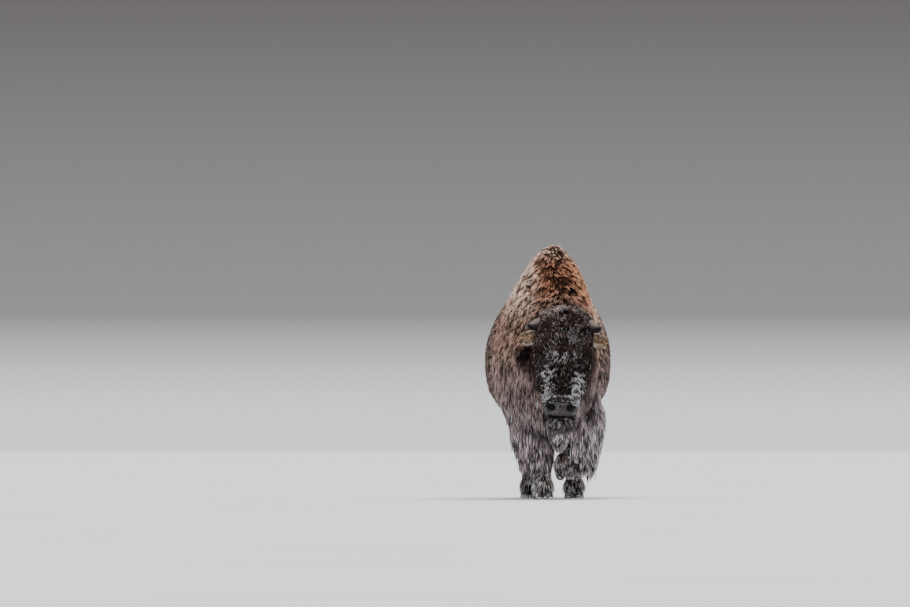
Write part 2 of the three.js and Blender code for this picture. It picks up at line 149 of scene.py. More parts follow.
def ring_faces(rings: int, segments: int) -> Array:
    """Triangles of a closed tube of rings of points with a pole at each end.

    Args:
        rings: Rings of points; the pole before the first and the one after the last follow them.
        segments: Points in a ring.

    Returns:
        Indices of the corners.
    """
    first, last = rings * segments, rings * segments + 1
    top = (rings - 1) * segments
    faces = []
    for i in range(segments):
        j = (i + 1) % segments
        faces.append((first, i, j))
        faces.append((last, top + j, top + i))
        for low in range(0, top, segments):
            high = low + segments
            faces.append((low + i, high + i, high + j))
            faces.append((low + i, high + j, low + j))
    return np.array(faces)


# ---- lofted bodies ----


def body_axes() -> Array:
    """Axes of a body that lies along the trunk: side, up and forward, one per row."""
    return np.array([[1.0, 0, 0], [0, 0, 1.0], [0, -1.0, 0]])


def limb_axes() -> Array:
    """Axes of a body that hangs: side, front and down, one per row."""
    return np.array([[1.0, 0, 0], [0, -1.0, 0], [0, 0, -1.0]])


def turn_x(angle: float) -> Array:
    """Matrix that turns column vectors about X by an angle in radians."""
    c, s = math.cos(angle), math.sin(angle)
    return np.array([[1.0, 0, 0], [0, c, -s], [0, s, c]])


def turn_y(angle: float) -> Array:
    """Matrix that turns column vectors about Y by an angle in radians."""
    c, s = math.cos(angle), math.sin(angle)
    return np.array([[c, 0, s], [0, 1.0, 0], [-s, 0, c]])


@dataclass
class Loft:
    """A closed body of rounded sections strung along a length.

    A station is (along, side, level, half, rise, drop, rise power, drop power, lean, coat): where
    the section stands, its middle, its half width, its reach to either side of its widest line, the
    powers of its outline, how far its top leans and how deep the coat is there.
    """

    stations: tuple[tuple[float, ...], ...]
    axes: Array
    origin: Array = field(default_factory=lambda: np.zeros(3))
    start_round: float = 0.0
    end_round: float = 0.0
    table: Array = field(init=False)

    def __post_init__(self) -> None:
        """Turns the stations into metres and reads them at many even places."""
        rows = np.array(self.stations, float)
        rows[:, [0, 1, 2, 3, 4, 5, 8, 9]] *= MM
        self.table = smooth_rows(rows)

    def local(self, points: Array) -> Array:
        """Places in the body's own side, front and along axes."""
        return (points - self.origin) @ self.axes.T

    def section(self, local: Array) -> tuple[Array, ...]:
        """Reads the section at each local place.

        Args:
            local: N x 3 places in the body's own axes.

        Returns:
            The offsets across and over, the outline's size there (1 on the outline), the scale of
            a rounded end, and the depth of the coat.
        """
        along = np.clip(local[:, 2], self.table[0, 0], self.table[-1, 0])
        side, level, half, rise, drop, up_power, down_power, lean, coat = (
            np.interp(along, self.table[:, 0], self.table[:, k]) for k in range(1, 10)
        )
        over = local[:, 1] - level
        upper = over >= 0
        reach = np.where(upper, rise, drop)
        power = np.where(upper, up_power, down_power)
        sway = np.where(upper, lean * np.clip(over / reach, 0, 1.2), 0.0)
        across = local[:, 0] - side - sway
        size = (np.abs(across / half) ** power + np.abs(over / reach) ** power) ** (1 / power)
        return across, over, size, self.end_scale(along), coat

    def end_scale(self, along: Array) -> Array:
        """Size of a section within a rounded end: the quarter circle sqrt(1 - (1 - t)^2).

        Args:
            along: Places along the length.

        Returns:
            Factors from nought at the tip to one past the rounded stretch.
        """
        scale = np.ones(len(along))
        for length, into in (
            (self.start_round, along - self.table[0, 0]),
            (self.end_round, self.table[-1, 0] - along),
        ):
            if length > 0:
                t = np.clip(into / length, 0, 1)
                scale = scale * np.sqrt(np.maximum(1 - (1 - t) ** 2, 1e-6))
        return scale

    def distance(self, points: Array, inset: float = 1.0) -> Array:
        """Rough distance to the surface, below zero inside, measured across the length.

        Args:
            points: N x 3 places.
            inset: Share of the coat's depth that the surface is set in by.

        Returns:
            N distances in metres.
        """
        local = self.local(points)
        across, over, size, scale, coat = self.section(local)
        radius = np.hypot(across, over)
        radial = radius * (1 - scale / np.maximum(size, 1e-6))
        radial = np.where(size < 1e-3, -scale * 0.02, radial)
        before = self.table[0, 0] - local[:, 2]
        beyond = local[:, 2] - self.table[-1, 0]
        if not self.start_round:
            radial = np.maximum(radial, before)
        if not self.end_round:
            radial = np.maximum(radial, beyond)
        out = np.maximum(before, beyond)
        radial = np.where(out > 0, np.hypot(np.maximum(radial, 0), out), radial)
        return radial + coat * inset

    def unwrap(self, points: Array) -> Array:
        """Place of each point on the body's own unwrap: turn about the length, and the length.

        Args:
            points: N x 3 places.

        Returns:
            N x 2 values from 0 to 1.
        """
        local = self.local(points)
        across, over, _, _, _ = self.section(local)
        turn = np.arctan2(over, across) / (2 * np.pi) + 0.5
        span = self.table[-1, 0] - self.table[0, 0]
        return np.stack([turn, np.clip((local[:, 2] - self.table[0, 0]) / span, 0, 1)], axis=1)

    def box(self, margin: float) -> tuple[Array, Array]:
        """Box around the body, with a margin.

        Args:
            margin: How far the box reaches past the body.

        Returns:
            The box's lowest and highest corner in the frame.
        """
        t = self.table
        lo = np.array([(t[:, 1] - t[:, 3]).min(), (t[:, 2] - t[:, 5]).min(), t[0, 0]])
        hi = np.array([(t[:, 1] + t[:, 3] + np.abs(t[:, 8])).max(), (t[:, 2] + t[:, 4]).max(), t[-1, 0]])
        world = np.array(list(product(*zip(lo, hi)))) @ self.axes + self.origin
        return world.min(0) - margin, world.max(0) + margin

    def surface(self, rings: int, segments: int) -> tuple[Array, list[tuple[int, ...]]]:
        """The closed surface as points and faces, each section a ring, each end a pole.

        Args:
            rings: Sections between the ends.
            segments: Points round a section.

        Returns:
            Points in the frame, and faces with their outer side out.
        """
        start, end = self.table[0, 0], self.table[-1, 0]
        first = start + self.start_round * (1 - np.cos(np.linspace(0, np.pi / 2, 5)[1:]))
        last = end - self.end_round * (1 - np.cos(np.linspace(0, np.pi / 2, 5)[1:]))[::-1]
        middle = np.linspace(start + self.start_round, end - self.end_round, rings)
        stretches = [first if self.start_round else [], middle, last if self.end_round else []]
        along = np.unique(np.concatenate(stretches))
        columns = [np.interp(along, self.table[:, 0], self.table[:, k])[:, None] for k in range(1, 10)]
        side, level, half, rise, drop, up_power, down_power, lean, _ = columns
        turn = np.linspace(0, 2 * np.pi, segments, endpoint=False)[None]
        c, s = np.cos(turn), np.sin(turn)
        power = 2 / np.where(s >= 0, up_power, down_power)
        scale = self.end_scale(along)[:, None]
        across = np.sign(c) * np.abs(c) ** power
        height = np.sign(s) * np.abs(s) ** power
        x = side + np.where(s >= 0, lean * height * scale, 0) + across * half * scale
        y = level + height * np.where(s >= 0, rise, drop) * scale
        z = np.broadcast_to(along[:, None], x.shape)
        rows = np.stack([x, y, z], axis=-1).reshape(-1, 3)
        poles = [[side[k, 0], level[k, 0], at] for k, at in ((0, start), (-1, end))]
        points = np.vstack([rows, poles])
        count = len(along)
        steps = [(i, (i + 1) % segments) for i in range(segments)]
        faces = []
        for low in range(0, (count - 1) * segments, segments):
            high = low + segments
            faces += [(low + i, low + j, high + j, high + i) for i, j in steps]
        start_pole, end_pole, top = count * segments, count * segments + 1, (count - 1) * segments
        faces += [(start_pole, j, i) for i, j in steps]
        faces += [(end_pole, top + i, top + j) for i, j in steps]
        return points @ self.axes + self.origin, faces


def smooth_rows(rows: Array, count: int = 200) -> Array:
    """Reads a station table at many even places with a cubic through every station.

    Args:
        rows: Stations, the first column being the place along the length.
        count: How many places to read.

    Returns:
        count rows of the same columns.
    """
    s = rows[:, 0]
    slope = np.empty_like(rows)
    slope[1:-1] = (rows[2:] - rows[:-2]) / (s[2:] - s[:-2])[:, None]
    slope[0] = (rows[1] - rows[0]) / (s[1] - s[0])
    slope[-1] = (rows[-1] - rows[-2]) / (s[-1] - s[-2])
    at = np.linspace(s[0], s[-1], count)
    k = np.clip(np.searchsorted(s, at, "right") - 1, 0, len(s) - 2)
    span = (s[k + 1] - s[k])[:, None]
    t = (at - s[k])[:, None] / span
    t2, t3 = t * t, t * t * t
    return (
        rows[k] * (2 * t3 - 3 * t2 + 1)
        + slope[k] * span * (t3 - 2 * t2 + t)
        + rows[k + 1] * (3 * t2 - 2 * t3)
        + slope[k + 1] * span * (t3 - t2)
    )


# ---- stations of the bodies: the solids' outline, then the coat's depth in the last column ----

TRUNK = (
    (-1300, -14, 1060, 215, 170, 190, 2.1, 2.1, 0, 16),
    (-1180, -14, 1060, 285, 235, 225, 2.1, 2.2, 0, 16),
    (-1000, -12, 1060, 345, 305, 262, 2.1, 2.4, 0, 16),
    (-800, -8, 1045, 388, 350, 290, 2.0, 2.6, 0, 17),
    (-600, -4, 1025, 425, 400, 335, 2.0, 2.8, 0, 18),
    (-400, 0, 1012, 446, 465, 360, 1.95, 3.0, 2, 20),
    (-200, 0, 1008, 450, 552, 375, 1.85, 3.0, 8, 22),
    (0, -3, 1005, 430, 665, 398, 1.65, 3.0, 24, 25),
    (200, -8, 1000, 388, 765, 450, 1.58, 2.8, 44, 28),
    (400, -12, 1000, 360, 800, 515, 1.62, 2.6, 56, 28),
    (560, 4, 1000, 346, 740, 500, 1.7, 2.6, 48, 29),
    (700, 34, 1015, 322, 610, 455, 1.8, 2.4, 34, 34),
    (860, 74, 1045, 278, 440, 400, 1.9, 2.2, 16, 42),
    (1000, 104, 1075, 218, 300, 335, 2.0, 2.0, 8, 40),
    (1080, 112, 1085, 170, 230, 260, 2.0, 2.0, 6, 40),
)

HEAD = (
    (-50, 6, 0, 150, 125, 120, 2.2, 2.2, 0, 30),
    (40, 3, 0, 178, 140, 140, 2.2, 2.2, 0, 26),
    (190, 0, 0, 206, 158, 195, 2.2, 2.1, 0, 22),
    (310, 0, 0, 212, 146, 220, 2.3, 2.0, 0, 20),
    (430, 0, 0, 194, 126, 205, 2.3, 2.0, 0, 18),
    (550, 0, 0, 166, 108, 165, 2.3, 2.1, 0, 14),
    (640, 0, 0, 132, 96, 130, 2.3, 2.2, 0, 9),
    (715, 0, 0, 112, 76, 112, 2.4, 2.2, 0, 8),
    (765, 0, 0, 88, 40, 98, 2.2, 2.2, 0, 12),
    (810, 0, 0, 70, 20, 84, 2.0, 2.0, 0, 14),
)

CROWN = (
    (-54, 8, 0, 120, 120, 105, 2.0, 2.0, 0, 54),
    (0, 5, 0, 190, 185, 150, 2.2, 2.2, 0, 52),
    (90, 2, 0, 215, 208, 178, 2.2, 2.2, 0, 44),
    (190, 0, 0, 216, 196, 208, 2.2, 2.2, 0, 38),
    (262, 0, 0, 206, 158, 212, 2.0, 2.0, 0, 26),
)

NOSE = (
    (606, 0, 58, 78, 48, 40, 2.2, 2.2, 0, 3),
    (656, 0, 50, 106, 62, 40, 2.4, 2.4, 0, 2),
    (704, 0, 42, 110, 60, 40, 2.4, 2.4, 0, 2),
    (744, 0, 34, 84, 44, 36, 2.2, 2.2, 0, 2),
)

BEARD = (
    (560, 100, 1052, 95, 70, 130, 2.0, 2.0, 0, 30),
    (650, 95, 1077, 100, 85, 160, 2.0, 2.0, 0, 38),
    (730, 92, 1107, 104, 105, 190, 2.0, 2.0, 0, 42),
    (800, 86, 1117, 94, 102, 180, 2.0, 2.0, 0, 40),
    (860, 78, 1112, 64, 76, 130, 2.0, 2.0, 0, 34),
    (900, 72, 1102, 32, 40, 64, 2.0, 2.0, 0, 26),
)

EAR = (
    (0, 0, 0, 34, 16, 20, 2.0, 2.0, 0, 2),
    (45, 0, 0, 54, 16, 24, 2.0, 2.0, 0, 4),
    (100, 0, 0, 50, 14, 22, 2.0, 2.0, 0, 4),
    (150, 0, 0, 28, 10, 14, 2.0, 2.0, 0, 4),
)

FORE_RIGHT_UPPER = (
    (-880, -190, 430, 120, 150, 170, 2.2, 2.2, 0, 30),
    (-760, -168, 440, 140, 165, 170, 2.2, 2.2, 0, 36),
    (-610, -138, 450, 152, 160, 150, 2.2, 2.2, 0, 44),
    (-476, -124, 455, 149, 142, 130, 2.2, 2.2, 0, 50),
    (-380, -102, 458, 142, 125, 112, 2.2, 2.2, 0, 52),
    (-300, -88, 460, 122, 104, 96, 2.1, 2.1, 0, 44),
    (-240, -80, 462, 100, 82, 80, 2.0, 2.0, 0, 34),
)

FORE_RIGHT_LOWER = (
    (-268, -52, 458, 60, 58, 57, 2.0, 2.0, 0, 8),
    (-235, -45, 460, 60, 56, 56, 2.0, 2.0, 0, 8),
    (-190, -40, 466, 66, 60, 62, 2.0, 2.0, 0, 8),
    (-140, -38, 474, 68, 62, 66, 2.1, 2.1, 0, 8),
    (-84, -36, 484, 66, 66, 66, 2.2, 2.2, 0, 9),
)

FORE_LEFT_UPPER = (
    (-880, 205, 450, 120, 160, 165, 2.2, 2.2, 0, 30),
    (-760, 226, 470, 142, 175, 160, 2.2, 2.2, 0, 36),
    (-620, 246, 500, 157, 165, 145, 2.2, 2.2, 0, 44),
    (-476, 242, 535, 154, 145, 130, 2.2, 2.2, 0, 50),
    (-380, 236, 555, 143, 130, 115, 2.2, 2.2, 0, 52),
    (-300, 230, 562, 128, 104, 100, 2.1, 2.1, 0, 46),
    (-248, 224, 562, 112, 82, 84, 2.0, 2.0, 0, 36),
)

FORE_LEFT_LOWER = (
    (-330, 146, 574, 70, 64, 62, 2.0, 2.0, 0, 8),
    (-275, 128, 548, 80, 72, 70, 2.0, 2.0, 0, 9),
    (-225, 125, 514, 78, 62, 66, 2.0, 2.0, 0, 9),
    (-188, 125, 486, 66, 44, 56, 2.0, 2.0, 0, 9),
)

HIND_RIGHT_UPPER = (
    (-1210, -170, -1000, 80, 150, 130, 2.2, 2.2, 0, 16),
    (-1060, -218, -1006, 112, 220, 190, 2.2, 2.2, 0, 16),
    (-900, -232, -1010, 142, 245, 246, 2.2, 2.2, 0, 16),
    (-760, -204, -1040, 112, 195, 190, 2.1, 2.1, 0, 15),
    (-650, -176, -1095, 86, 128, 128, 2.0, 2.0, 0, 12),
    (-560, -160, -1160, 70, 84, 96, 2.0, 2.0, 0, 10),
)

HIND_RIGHT_LOWER = (
    (-585, -162, -1153, 60, 70, 80, 2.0, 2.0, 0, 9),
    (-520, -152, -1176, 58, 62, 76, 2.0, 2.0, 0, 8),
    (-430, -143, -1180, 52, 54, 60, 2.0, 2.0, 0, 8),
    (-300, -134, -1166, 50, 50, 52, 2.0, 2.0, 0, 7),
    (-190, -129, -1144, 60, 58, 60, 2.0, 2.0, 0, 8),
    (-84, -128, -1120, 62, 60, 64, 2.1, 2.1, 0, 9),
)

HIND_LEFT_UPPER = (
    (-1210, 160, -970, 80, 150, 150, 2.2, 2.2, 0, 16),
    (-1060, 208, -930, 112, 225, 230, 2.2, 2.2, 0, 16),
    (-900, 226, -880, 142, 250, 260, 2.2, 2.2, 0, 16),
    (-760, 212, -835, 114, 195, 205, 2.1, 2.1, 0, 15),
    (-650, 202, -820, 88, 130, 138, 2.0, 2.0, 0, 12),
    (-560, 196, -828, 70, 86, 98, 2.0, 2.0, 0, 10),
)

HIND_LEFT_LOWER = (
    (-585, 197, -822, 62, 72, 82, 2.0, 2.0, 0, 9),
    (-520, 194, -824, 58, 62, 78, 2.0, 2.0, 0, 8),
    (-430, 190, -790, 54, 54, 60, 2.0, 2.0, 0, 8),
    (-300, 186, -710, 52, 52, 54, 2.0, 2.0, 0, 7),
    (-190, 186, -634, 60, 60, 62, 2.0, 2.0, 0, 8),
    (-84, 188, -590, 64, 62, 66, 2.1, 2.1, 0, 9),
)

LEG_LOCK = (
    (-330, 290, 545, 40, 42, 42, 2.0, 2.0, 0, 18),
    (-250, 295, 545, 34, 34, 34, 2.0, 2.0, 0, 20),
    (-190, 292, 545, 12, 12, 12, 2.0, 2.0, 0, 8),
)

TAIL = (
    (-1262, -14, -1215, 30, 34, 30, 2.0, 2.0, 0, 6),
    (-1190, -16, -1272, 32, 34, 30, 2.0, 2.0, 0, 6),
    (-1100, -18, -1290, 28, 28, 28, 2.0, 2.0, 0, 7),
    (-1020, -20, -1296, 26, 26, 26, 2.0, 2.0, 0, 7),
    (-830, -26, -1290, 22, 22, 22, 2.0, 2.0, 0, 8),
)

TAIL_TUFT = (
    (-860, -25, -1291, 26, 26, 26, 2.0, 2.0, 0, 12),
    (-780, -27, -1284, 40, 36, 36, 2.0, 2.0, 0, 20),
    (-690, -29, -1280, 38, 34, 34, 2.0, 2.0, 0, 20),
    (-620, -31, -1278, 18, 18, 18, 2.0, 2.0, 0, 10),
)

CLAW = (
    (-88, 31, -18, 27, 30, 40, 2.2, 2.2, 0, 0),
    (-60, 34, -4, 33, 46, 50, 2.3, 2.3, 0, 0),
    (-25, 36, 4, 36, 58, 56, 2.5, 2.5, 0, 0),
    (0, 37, 8, 36, 64, 56, 2.5, 2.5, 0, 0),
)

DEWCLAW = (
    (-34, 0, 0, 11, 12, 10, 2.0, 2.0, 0, 0),
    (-14, 0, -6, 14, 14, 13, 2.0, 2.0, 0, 0),
    (0, 0, -14, 7, 8, 7, 2.0, 2.0, 0, 0),
)

POLL = np.array([118.0, -1032.0, 1290.0]) * MM
FACE_TILT = math.radians(14)
FACE_ROLL = math.radians(2.5)
EYE_SPOT = np.array([157.0, 90.0, 352.0]) * MM
EYE_RADIUS = 19 * MM
EAR_ROOT = np.array([168.0, -24.0, 150.0]) * MM
EAR_SWEEP = math.radians(12)
EAR_DROOP = math.radians(10)
EAR_FACE = np.array([0.15, 1.0, -0.3])


def head_axes() -> Array:
    """Axes of the head: side, face and down the face, one per row, tilted and rolled."""
    return (turn_y(FACE_ROLL) @ turn_x(-FACE_TILT) @ limb_axes().T).T


def from_head(local: Array) -> Array:
    """Places given in the head's own axes, in the frame."""
    return local @ head_axes() + POLL


def to_head(points: Array) -> Array:
    """Places of the frame in the head's own axes: to the side, out of the face and down along it."""
    return (points - POLL) @ head_axes().T


def on_side(spot: Array, hand: int) -> Array:
    """The same places on the left side of the head for hand 1 and on the right for hand -1."""
    return spot * np.array([hand, 1, 1])


def ear_axes(hand: int) -> tuple[Array, Array]:
    """Axes and root of one ear, which reaches out, back and a little down.

    Args:
        hand: 1 for the left ear, -1 for the right.

    Returns:
        The ear's axes in the frame, one per row, and its root.
    """
    out = unit(np.array([math.cos(EAR_SWEEP), -math.sin(EAR_SWEEP), math.sin(EAR_DROOP)]))
    face = unit(EAR_FACE - out * EAR_FACE.dot(out))
    local = on_side(np.stack([np.cross(face, out), face, out]), hand)
    return local @ head_axes(), from_head(on_side(EAR_ROOT, hand))


class Part(IntEnum):
    """The bodies that the skin is blended from, numbered in the order of make_lofts."""

    TRUNK = 0
    HEAD = 1
    CROWN = 2
    NOSE = 3
    BEARD = 4
    EAR_LEFT = 5
    EAR_RIGHT = 6
    FORE_RIGHT_UPPER = 7
    FORE_LEFT_UPPER = 8
    LEG_LOCK = 9
    FORE_RIGHT_LOWER = 10
    FORE_LEFT_LOWER = 11
    HIND_RIGHT_UPPER = 12
    HIND_LEFT_UPPER = 13
    HIND_RIGHT_LOWER = 14
    HIND_LEFT_LOWER = 15
    TAIL = 16
    TAIL_TUFT = 17


FACE = (Part.HEAD, Part.NOSE)
EARS = (Part.EAR_LEFT, Part.EAR_RIGHT)
FORE_UPPERS = (Part.FORE_LEFT_UPPER, Part.FORE_RIGHT_UPPER)
THIGHS = (Part.HIND_LEFT_UPPER, Part.HIND_RIGHT_UPPER)
SHANKS = (Part.FORE_LEFT_LOWER, Part.FORE_RIGHT_LOWER, Part.HIND_LEFT_LOWER, Part.HIND_RIGHT_LOWER)


def among(part: Array, *bodies: Part) -> Array:
    """True at the places whose number in part is that of one of the bodies."""
    return np.isin(part, bodies)


def make_lofts() -> dict[Part, tuple[Loft, float]]:
    """Strings the bodies of the flesh.

    Returns:
        Each body with the width over which it melts into its neighbours.
    """
    head, body, limb = head_axes(), body_axes(), limb_axes()
    left_axes, left_root = ear_axes(1)
    right_axes, right_root = ear_axes(-1)
    under_poll = np.array([0, 0, POLL[2]])
    zero = np.zeros(3)
    return {
        Part.TRUNK: (Loft(TRUNK, body, zero, 0.13, 0.09), 0.0),
        Part.HEAD: (Loft(HEAD, head, POLL, 0.07, 0.045), 0.05),
        Part.CROWN: (Loft(CROWN, head, POLL, 0.07, 0.026), 0.03),
        Part.NOSE: (Loft(NOSE, head, POLL, 0.024, 0.024), 0.018),
        Part.BEARD: (Loft(BEARD, limb, under_poll, 0.03, 0.024), 0.06),
        Part.EAR_LEFT: (Loft(EAR, left_axes, left_root, 0.02, 0.04), 0.012),
        Part.EAR_RIGHT: (Loft(EAR, right_axes, right_root, 0.02, 0.04), 0.012),
        Part.FORE_RIGHT_UPPER: (Loft(FORE_RIGHT_UPPER, limb, zero, 0.06, 0.04), 0.06),
        Part.FORE_LEFT_UPPER: (Loft(FORE_LEFT_UPPER, limb, zero, 0.06, 0.04), 0.06),
        Part.LEG_LOCK: (Loft(LEG_LOCK, limb, zero, 0.02, 0.014), 0.02),
        Part.FORE_RIGHT_LOWER: (Loft(FORE_RIGHT_LOWER, limb, zero, 0.0, 0.014), 0.025),
        Part.FORE_LEFT_LOWER: (Loft(FORE_LEFT_LOWER, limb, zero, 0.0, 0.014), 0.025),
        Part.HIND_RIGHT_UPPER: (Loft(HIND_RIGHT_UPPER, limb, zero, 0.06, 0.04), 0.09),
        Part.HIND_LEFT_UPPER: (Loft(HIND_LEFT_UPPER, limb, zero, 0.06, 0.04), 0.09),
        Part.HIND_RIGHT_LOWER: (Loft(HIND_RIGHT_LOWER, limb, zero, 0.0, 0.014), 0.03),
        Part.HIND_LEFT_LOWER: (Loft(HIND_LEFT_LOWER, limb, zero, 0.0, 0.014), 0.03),
        Part.TAIL: (Loft(TAIL, limb, zero, 0.03, 0.01), 0.03),
        Part.TAIL_TUFT: (Loft(TAIL_TUFT, limb, zero, 0.02, 0.02), 0.015),
    }


# ---- flesh ----


def blend(a: Array, b: Array, width: float) -> Array:
    """Smooth union: the lesser of two distances, rounded off where they are nearly equal.

    Args:
        a: Distances to one body.
        b: Distances to the other.
        width: How near the two have to be for the rounding.

    Returns:
        Distances to both together.
    """
    if width <= 0:
        return np.minimum(a, b)
    h = np.clip(0.5 + 0.5 * (a - b) / width, 0, 1)
    return a * (1 - h) + b * h - width * h * (1 - h)


@dataclass
class EyeSeat:
    """Where one eyeball sits and the way it looks, in the frame."""

    hand: int
    gaze_way: Triple = (0.74, 0.66, 0.06)
    slit_way: Triple = (0.35, -0.5, 0.16)

    @property
    def centre(self) -> Array:
        """Middle of the eyeball."""
        return from_head(on_side(EYE_SPOT, self.hand))

    @property
    def axes(self) -> Array:
        """The eye's own axes.

        Returns:
            Rows: along the slit of the lids, up across it, and out along the gaze.
        """
        gaze = unit(on_side(np.array(self.gaze_way), self.hand)) @ head_axes()
        slit = on_side(np.array(self.slit_way), self.hand) @ head_axes()
        slit = unit(slit - gaze * slit.dot(gaze))
        return np.stack([slit, np.cross(gaze, slit), gaze])

    def local(self, points: Array) -> Array:
        """Places in the eye's own slit, up and gaze axes."""
        return (points - self.centre) @ self.axes.T

    def gap(self, points: Array) -> Array:
        """Distances from the middle of the eyeball."""
        return np.linalg.norm(points - self.centre, axis=1)


@dataclass
class Flesh:
    """The flesh under the coat as one smooth distance over all the bodies, with the face carved in."""

    lofts: dict[Part, tuple[Loft, float]] = field(default_factory=make_lofts)
    margin: float = 0.12
    lid_radius: float = 25 * MM
    lid_melt: float = 0.018
    brow_spot: Triple = (0, 0.030, 0.004)
    brow_shape: Triple = (1.7, 0.8, 0.9)
    brow_radius: float = 0.016
    brow_melt: float = 0.014
    slit_half: Pair = (18.5 * MM, 11.5 * MM)
    socket_depth: float = 0.05
    socket_fit: float = 0.99
    fold_step: float = 6.5 * MM
    fold_depth: float = 0.8 * MM
    fold_reach: Pair = (0.045, 0.026)
    nostril_side: float = 66 * MM
    nostril_along: float = 690 * MM
    nostril_front: float = 96 * MM
    nostril_half: Triple = (27, 21, 34)
    comma_spot: Triple = (26, -16, -16)
    comma_half: Triple = (20, 8, 32)
    wrinkle: float = 3.2 * MM
    wrinkle_cell: float = 0.009
    groove_half: Pair = (5 * MM, 9 * MM)
    groove_front: float = 104 * MM
    groove_along: Pair = (706 * MM, 26 * MM)
    mouth_along: float = 748 * MM
    mouth_sag: float = 0.10
    mouth_half: float = 92 * MM
    mouth_gap: float = 3.5 * MM
    lip_swell: float = 14 * MM
    mouth_depth: float = 28 * MM
    cup_spot: Pair = (16 * MM, 82 * MM)
    cup_half: Triple = (36, 17, 54)
    cup_depth: float = 14

    def near(self, loft: Loft, points: Array) -> Array:
        """Tells which places lie in the box round a body."""
        lo, hi = loft.box(self.margin)
        return np.all((points >= lo) & (points <= hi), axis=1)

    def distance(self, points: Array) -> Array:
        """Distance to the skin for any places, below zero inside.

        Args:
            points: N x 3 places.

        Returns:
            N distances in metres.
        """
        total = np.full(len(points), 0.5)
        for loft, width in self.lofts.values():
            near = self.near(loft, points)
            if near.any():
                total[near] = blend(total[near], loft.distance(points[near]), width)
        near = self.near(self.lofts[Part.HEAD][0], points)
        if near.any():
            total[near] = self.carve_face(points[near], total[near])
        return total

    def carve_face(self, points: Array, total: Array) -> Array:
        """Adds lids and lips and cuts the eye slits, nostrils, mouth and the cups of the ears.

        Args:
            points: N x 3 places round the head.
            total: N distances to the plain surface.

        Returns:
            N distances to the carved surface.
        """
        local = to_head(points)
        for hand in (1, -1):
            total = self.carve_eye(EyeSeat(hand).local(points), total)
        for hand in (1, -1):
            total = self.carve_nostril(local, total, hand)
        total = self.carve_mouth(points, local, total)
        for ear in EARS:
            across, over, out = self.lofts[ear][0].local(points).T
            over, out = over - self.cup_spot[0], out - self.cup_spot[1]
            a, b, c = self.cup_half
            cup = np.sqrt((across / a) ** 2 + (over / b) ** 2 + (out / c) ** 2)
            total = np.maximum(total, -(cup / MM - 1) * self.cup_depth * MM)
        return total

    def carve_eye(self, q: Array, total: Array) -> Array:
        """Bulges the lids and the brow, opens the slit, cuts the socket and folds the skin round it.

        Args:
            q: N x 3 places in the axes of the eye's seat.
            total: N distances so far.

        Returns:
            N distances; the folds add depth times the cosine of the distance from the slit.
        """
        ball = np.linalg.norm(q, axis=1)
        total = blend(total, ball - self.lid_radius, self.lid_melt)
        brow = np.linalg.norm((q - self.brow_spot) / self.brow_shape, axis=1) * 0.9 - self.brow_radius
        total = blend(total, brow, self.brow_melt)
        slit = np.hypot(q[:, 0] / self.slit_half[0], q[:, 1] / self.slit_half[1]) - 1
        opening = np.maximum(slit * self.slit_half[1], -q[:, 2])
        total = np.maximum(total, -np.maximum(opening, ball - self.socket_depth))
        total = np.maximum(total, -(ball - EYE_RADIUS * self.socket_fit))
        fold = np.cos(2 * np.pi * slit * self.slit_half[1] / self.fold_step)
        return total + self.fold_depth * fold * ease(*self.fold_reach, ball) * ease(0.0, 0.25, slit)

    def carve_nostril(self, local: Array, total: Array, hand: int) -> Array:
        """Cuts one nostril: a slanting hollow with a comma-shaped slot above its outer end.

        Args:
            local: N x 3 places in the head's axes.
            total: N distances so far.
            hand: 1 for the left nostril, -1 for the right.

        Returns:
            N distances; both cuts are ellipsoids whose half axes are in millimetres.
        """
        side, front, along = local.T
        u = (side * hand - self.nostril_side) / MM
        v = (along - self.nostril_along) / MM
        w = (front - self.nostril_front) / MM
        a, b, c = self.nostril_half
        hole = np.sqrt((u / a) ** 2 + ((v + 0.25 * u) / b) ** 2 + (w / c) ** 2) - 1
        total = np.maximum(total, -hole * 17 * MM)
        u, v, w = u - self.comma_spot[0], v - self.comma_spot[1], w - self.comma_spot[2]
        a, b, c = self.comma_half
        comma = np.sqrt((u / a) ** 2 + ((v + 0.7 * u) / b) ** 2 + (w / c) ** 2) - 1
        return np.maximum(total, -comma * 7 * MM)

    def carve_mouth(self, points: Array, local: Array, total: Array) -> Array:
        """Wrinkles the muzzle and cuts the groove of the upper lip and the closed mouth.

        Args:
            points: N x 3 places in the frame.
            local: The same places in the head's axes.
            total: N distances so far.

        Returns:
            N distances.
        """
        side, front, along = local.T
        on_nose = ease(0.62, 0.66, along) * ease(0.79, 0.75, along) * ease(0, 0.02, front)
        noise = value_noise(points, self.wrinkle_cell, Pattern.MUZZLE_WRINKLE)
        total = total + on_nose * self.wrinkle * (noise - 0.5)
        across, deep = self.groove_half
        groove = np.hypot(side / across, (front - self.groove_front) / deep) - 1
        middle, half = self.groove_along
        groove = np.maximum(groove * 4 * MM, np.abs(along - middle) - half)
        total = np.maximum(total, -groove)
        lip = self.mouth_along + self.mouth_sag * np.abs(side) - along
        cut = np.maximum(np.abs(lip) - self.mouth_gap, np.abs(side) - self.mouth_half)
        inner = np.maximum(cut, -(front - 0.006))
        return np.maximum(total, -np.maximum(inner, total + self.lip_swell - self.mouth_depth))

    def part_of(self, points: Array) -> Array:
        """Finds the body whose skin lies nearest to each place.

        Args:
            points: N x 3 places.

        Returns:
            N numbers of Part.
        """
        best = np.full(len(points), 1.0)
        part = np.zeros(len(points), int)
        for number, (loft, _) in enumerate(self.lofts.values()):
            near = np.flatnonzero(self.near(loft, points))
            if len(near):
                gap = loft.distance(points[near])
                closer = near[gap < best[near]]
                best[closer] = gap[gap < best[near]]
                part[closer] = number
        return part


# ---- mesh helpers ----


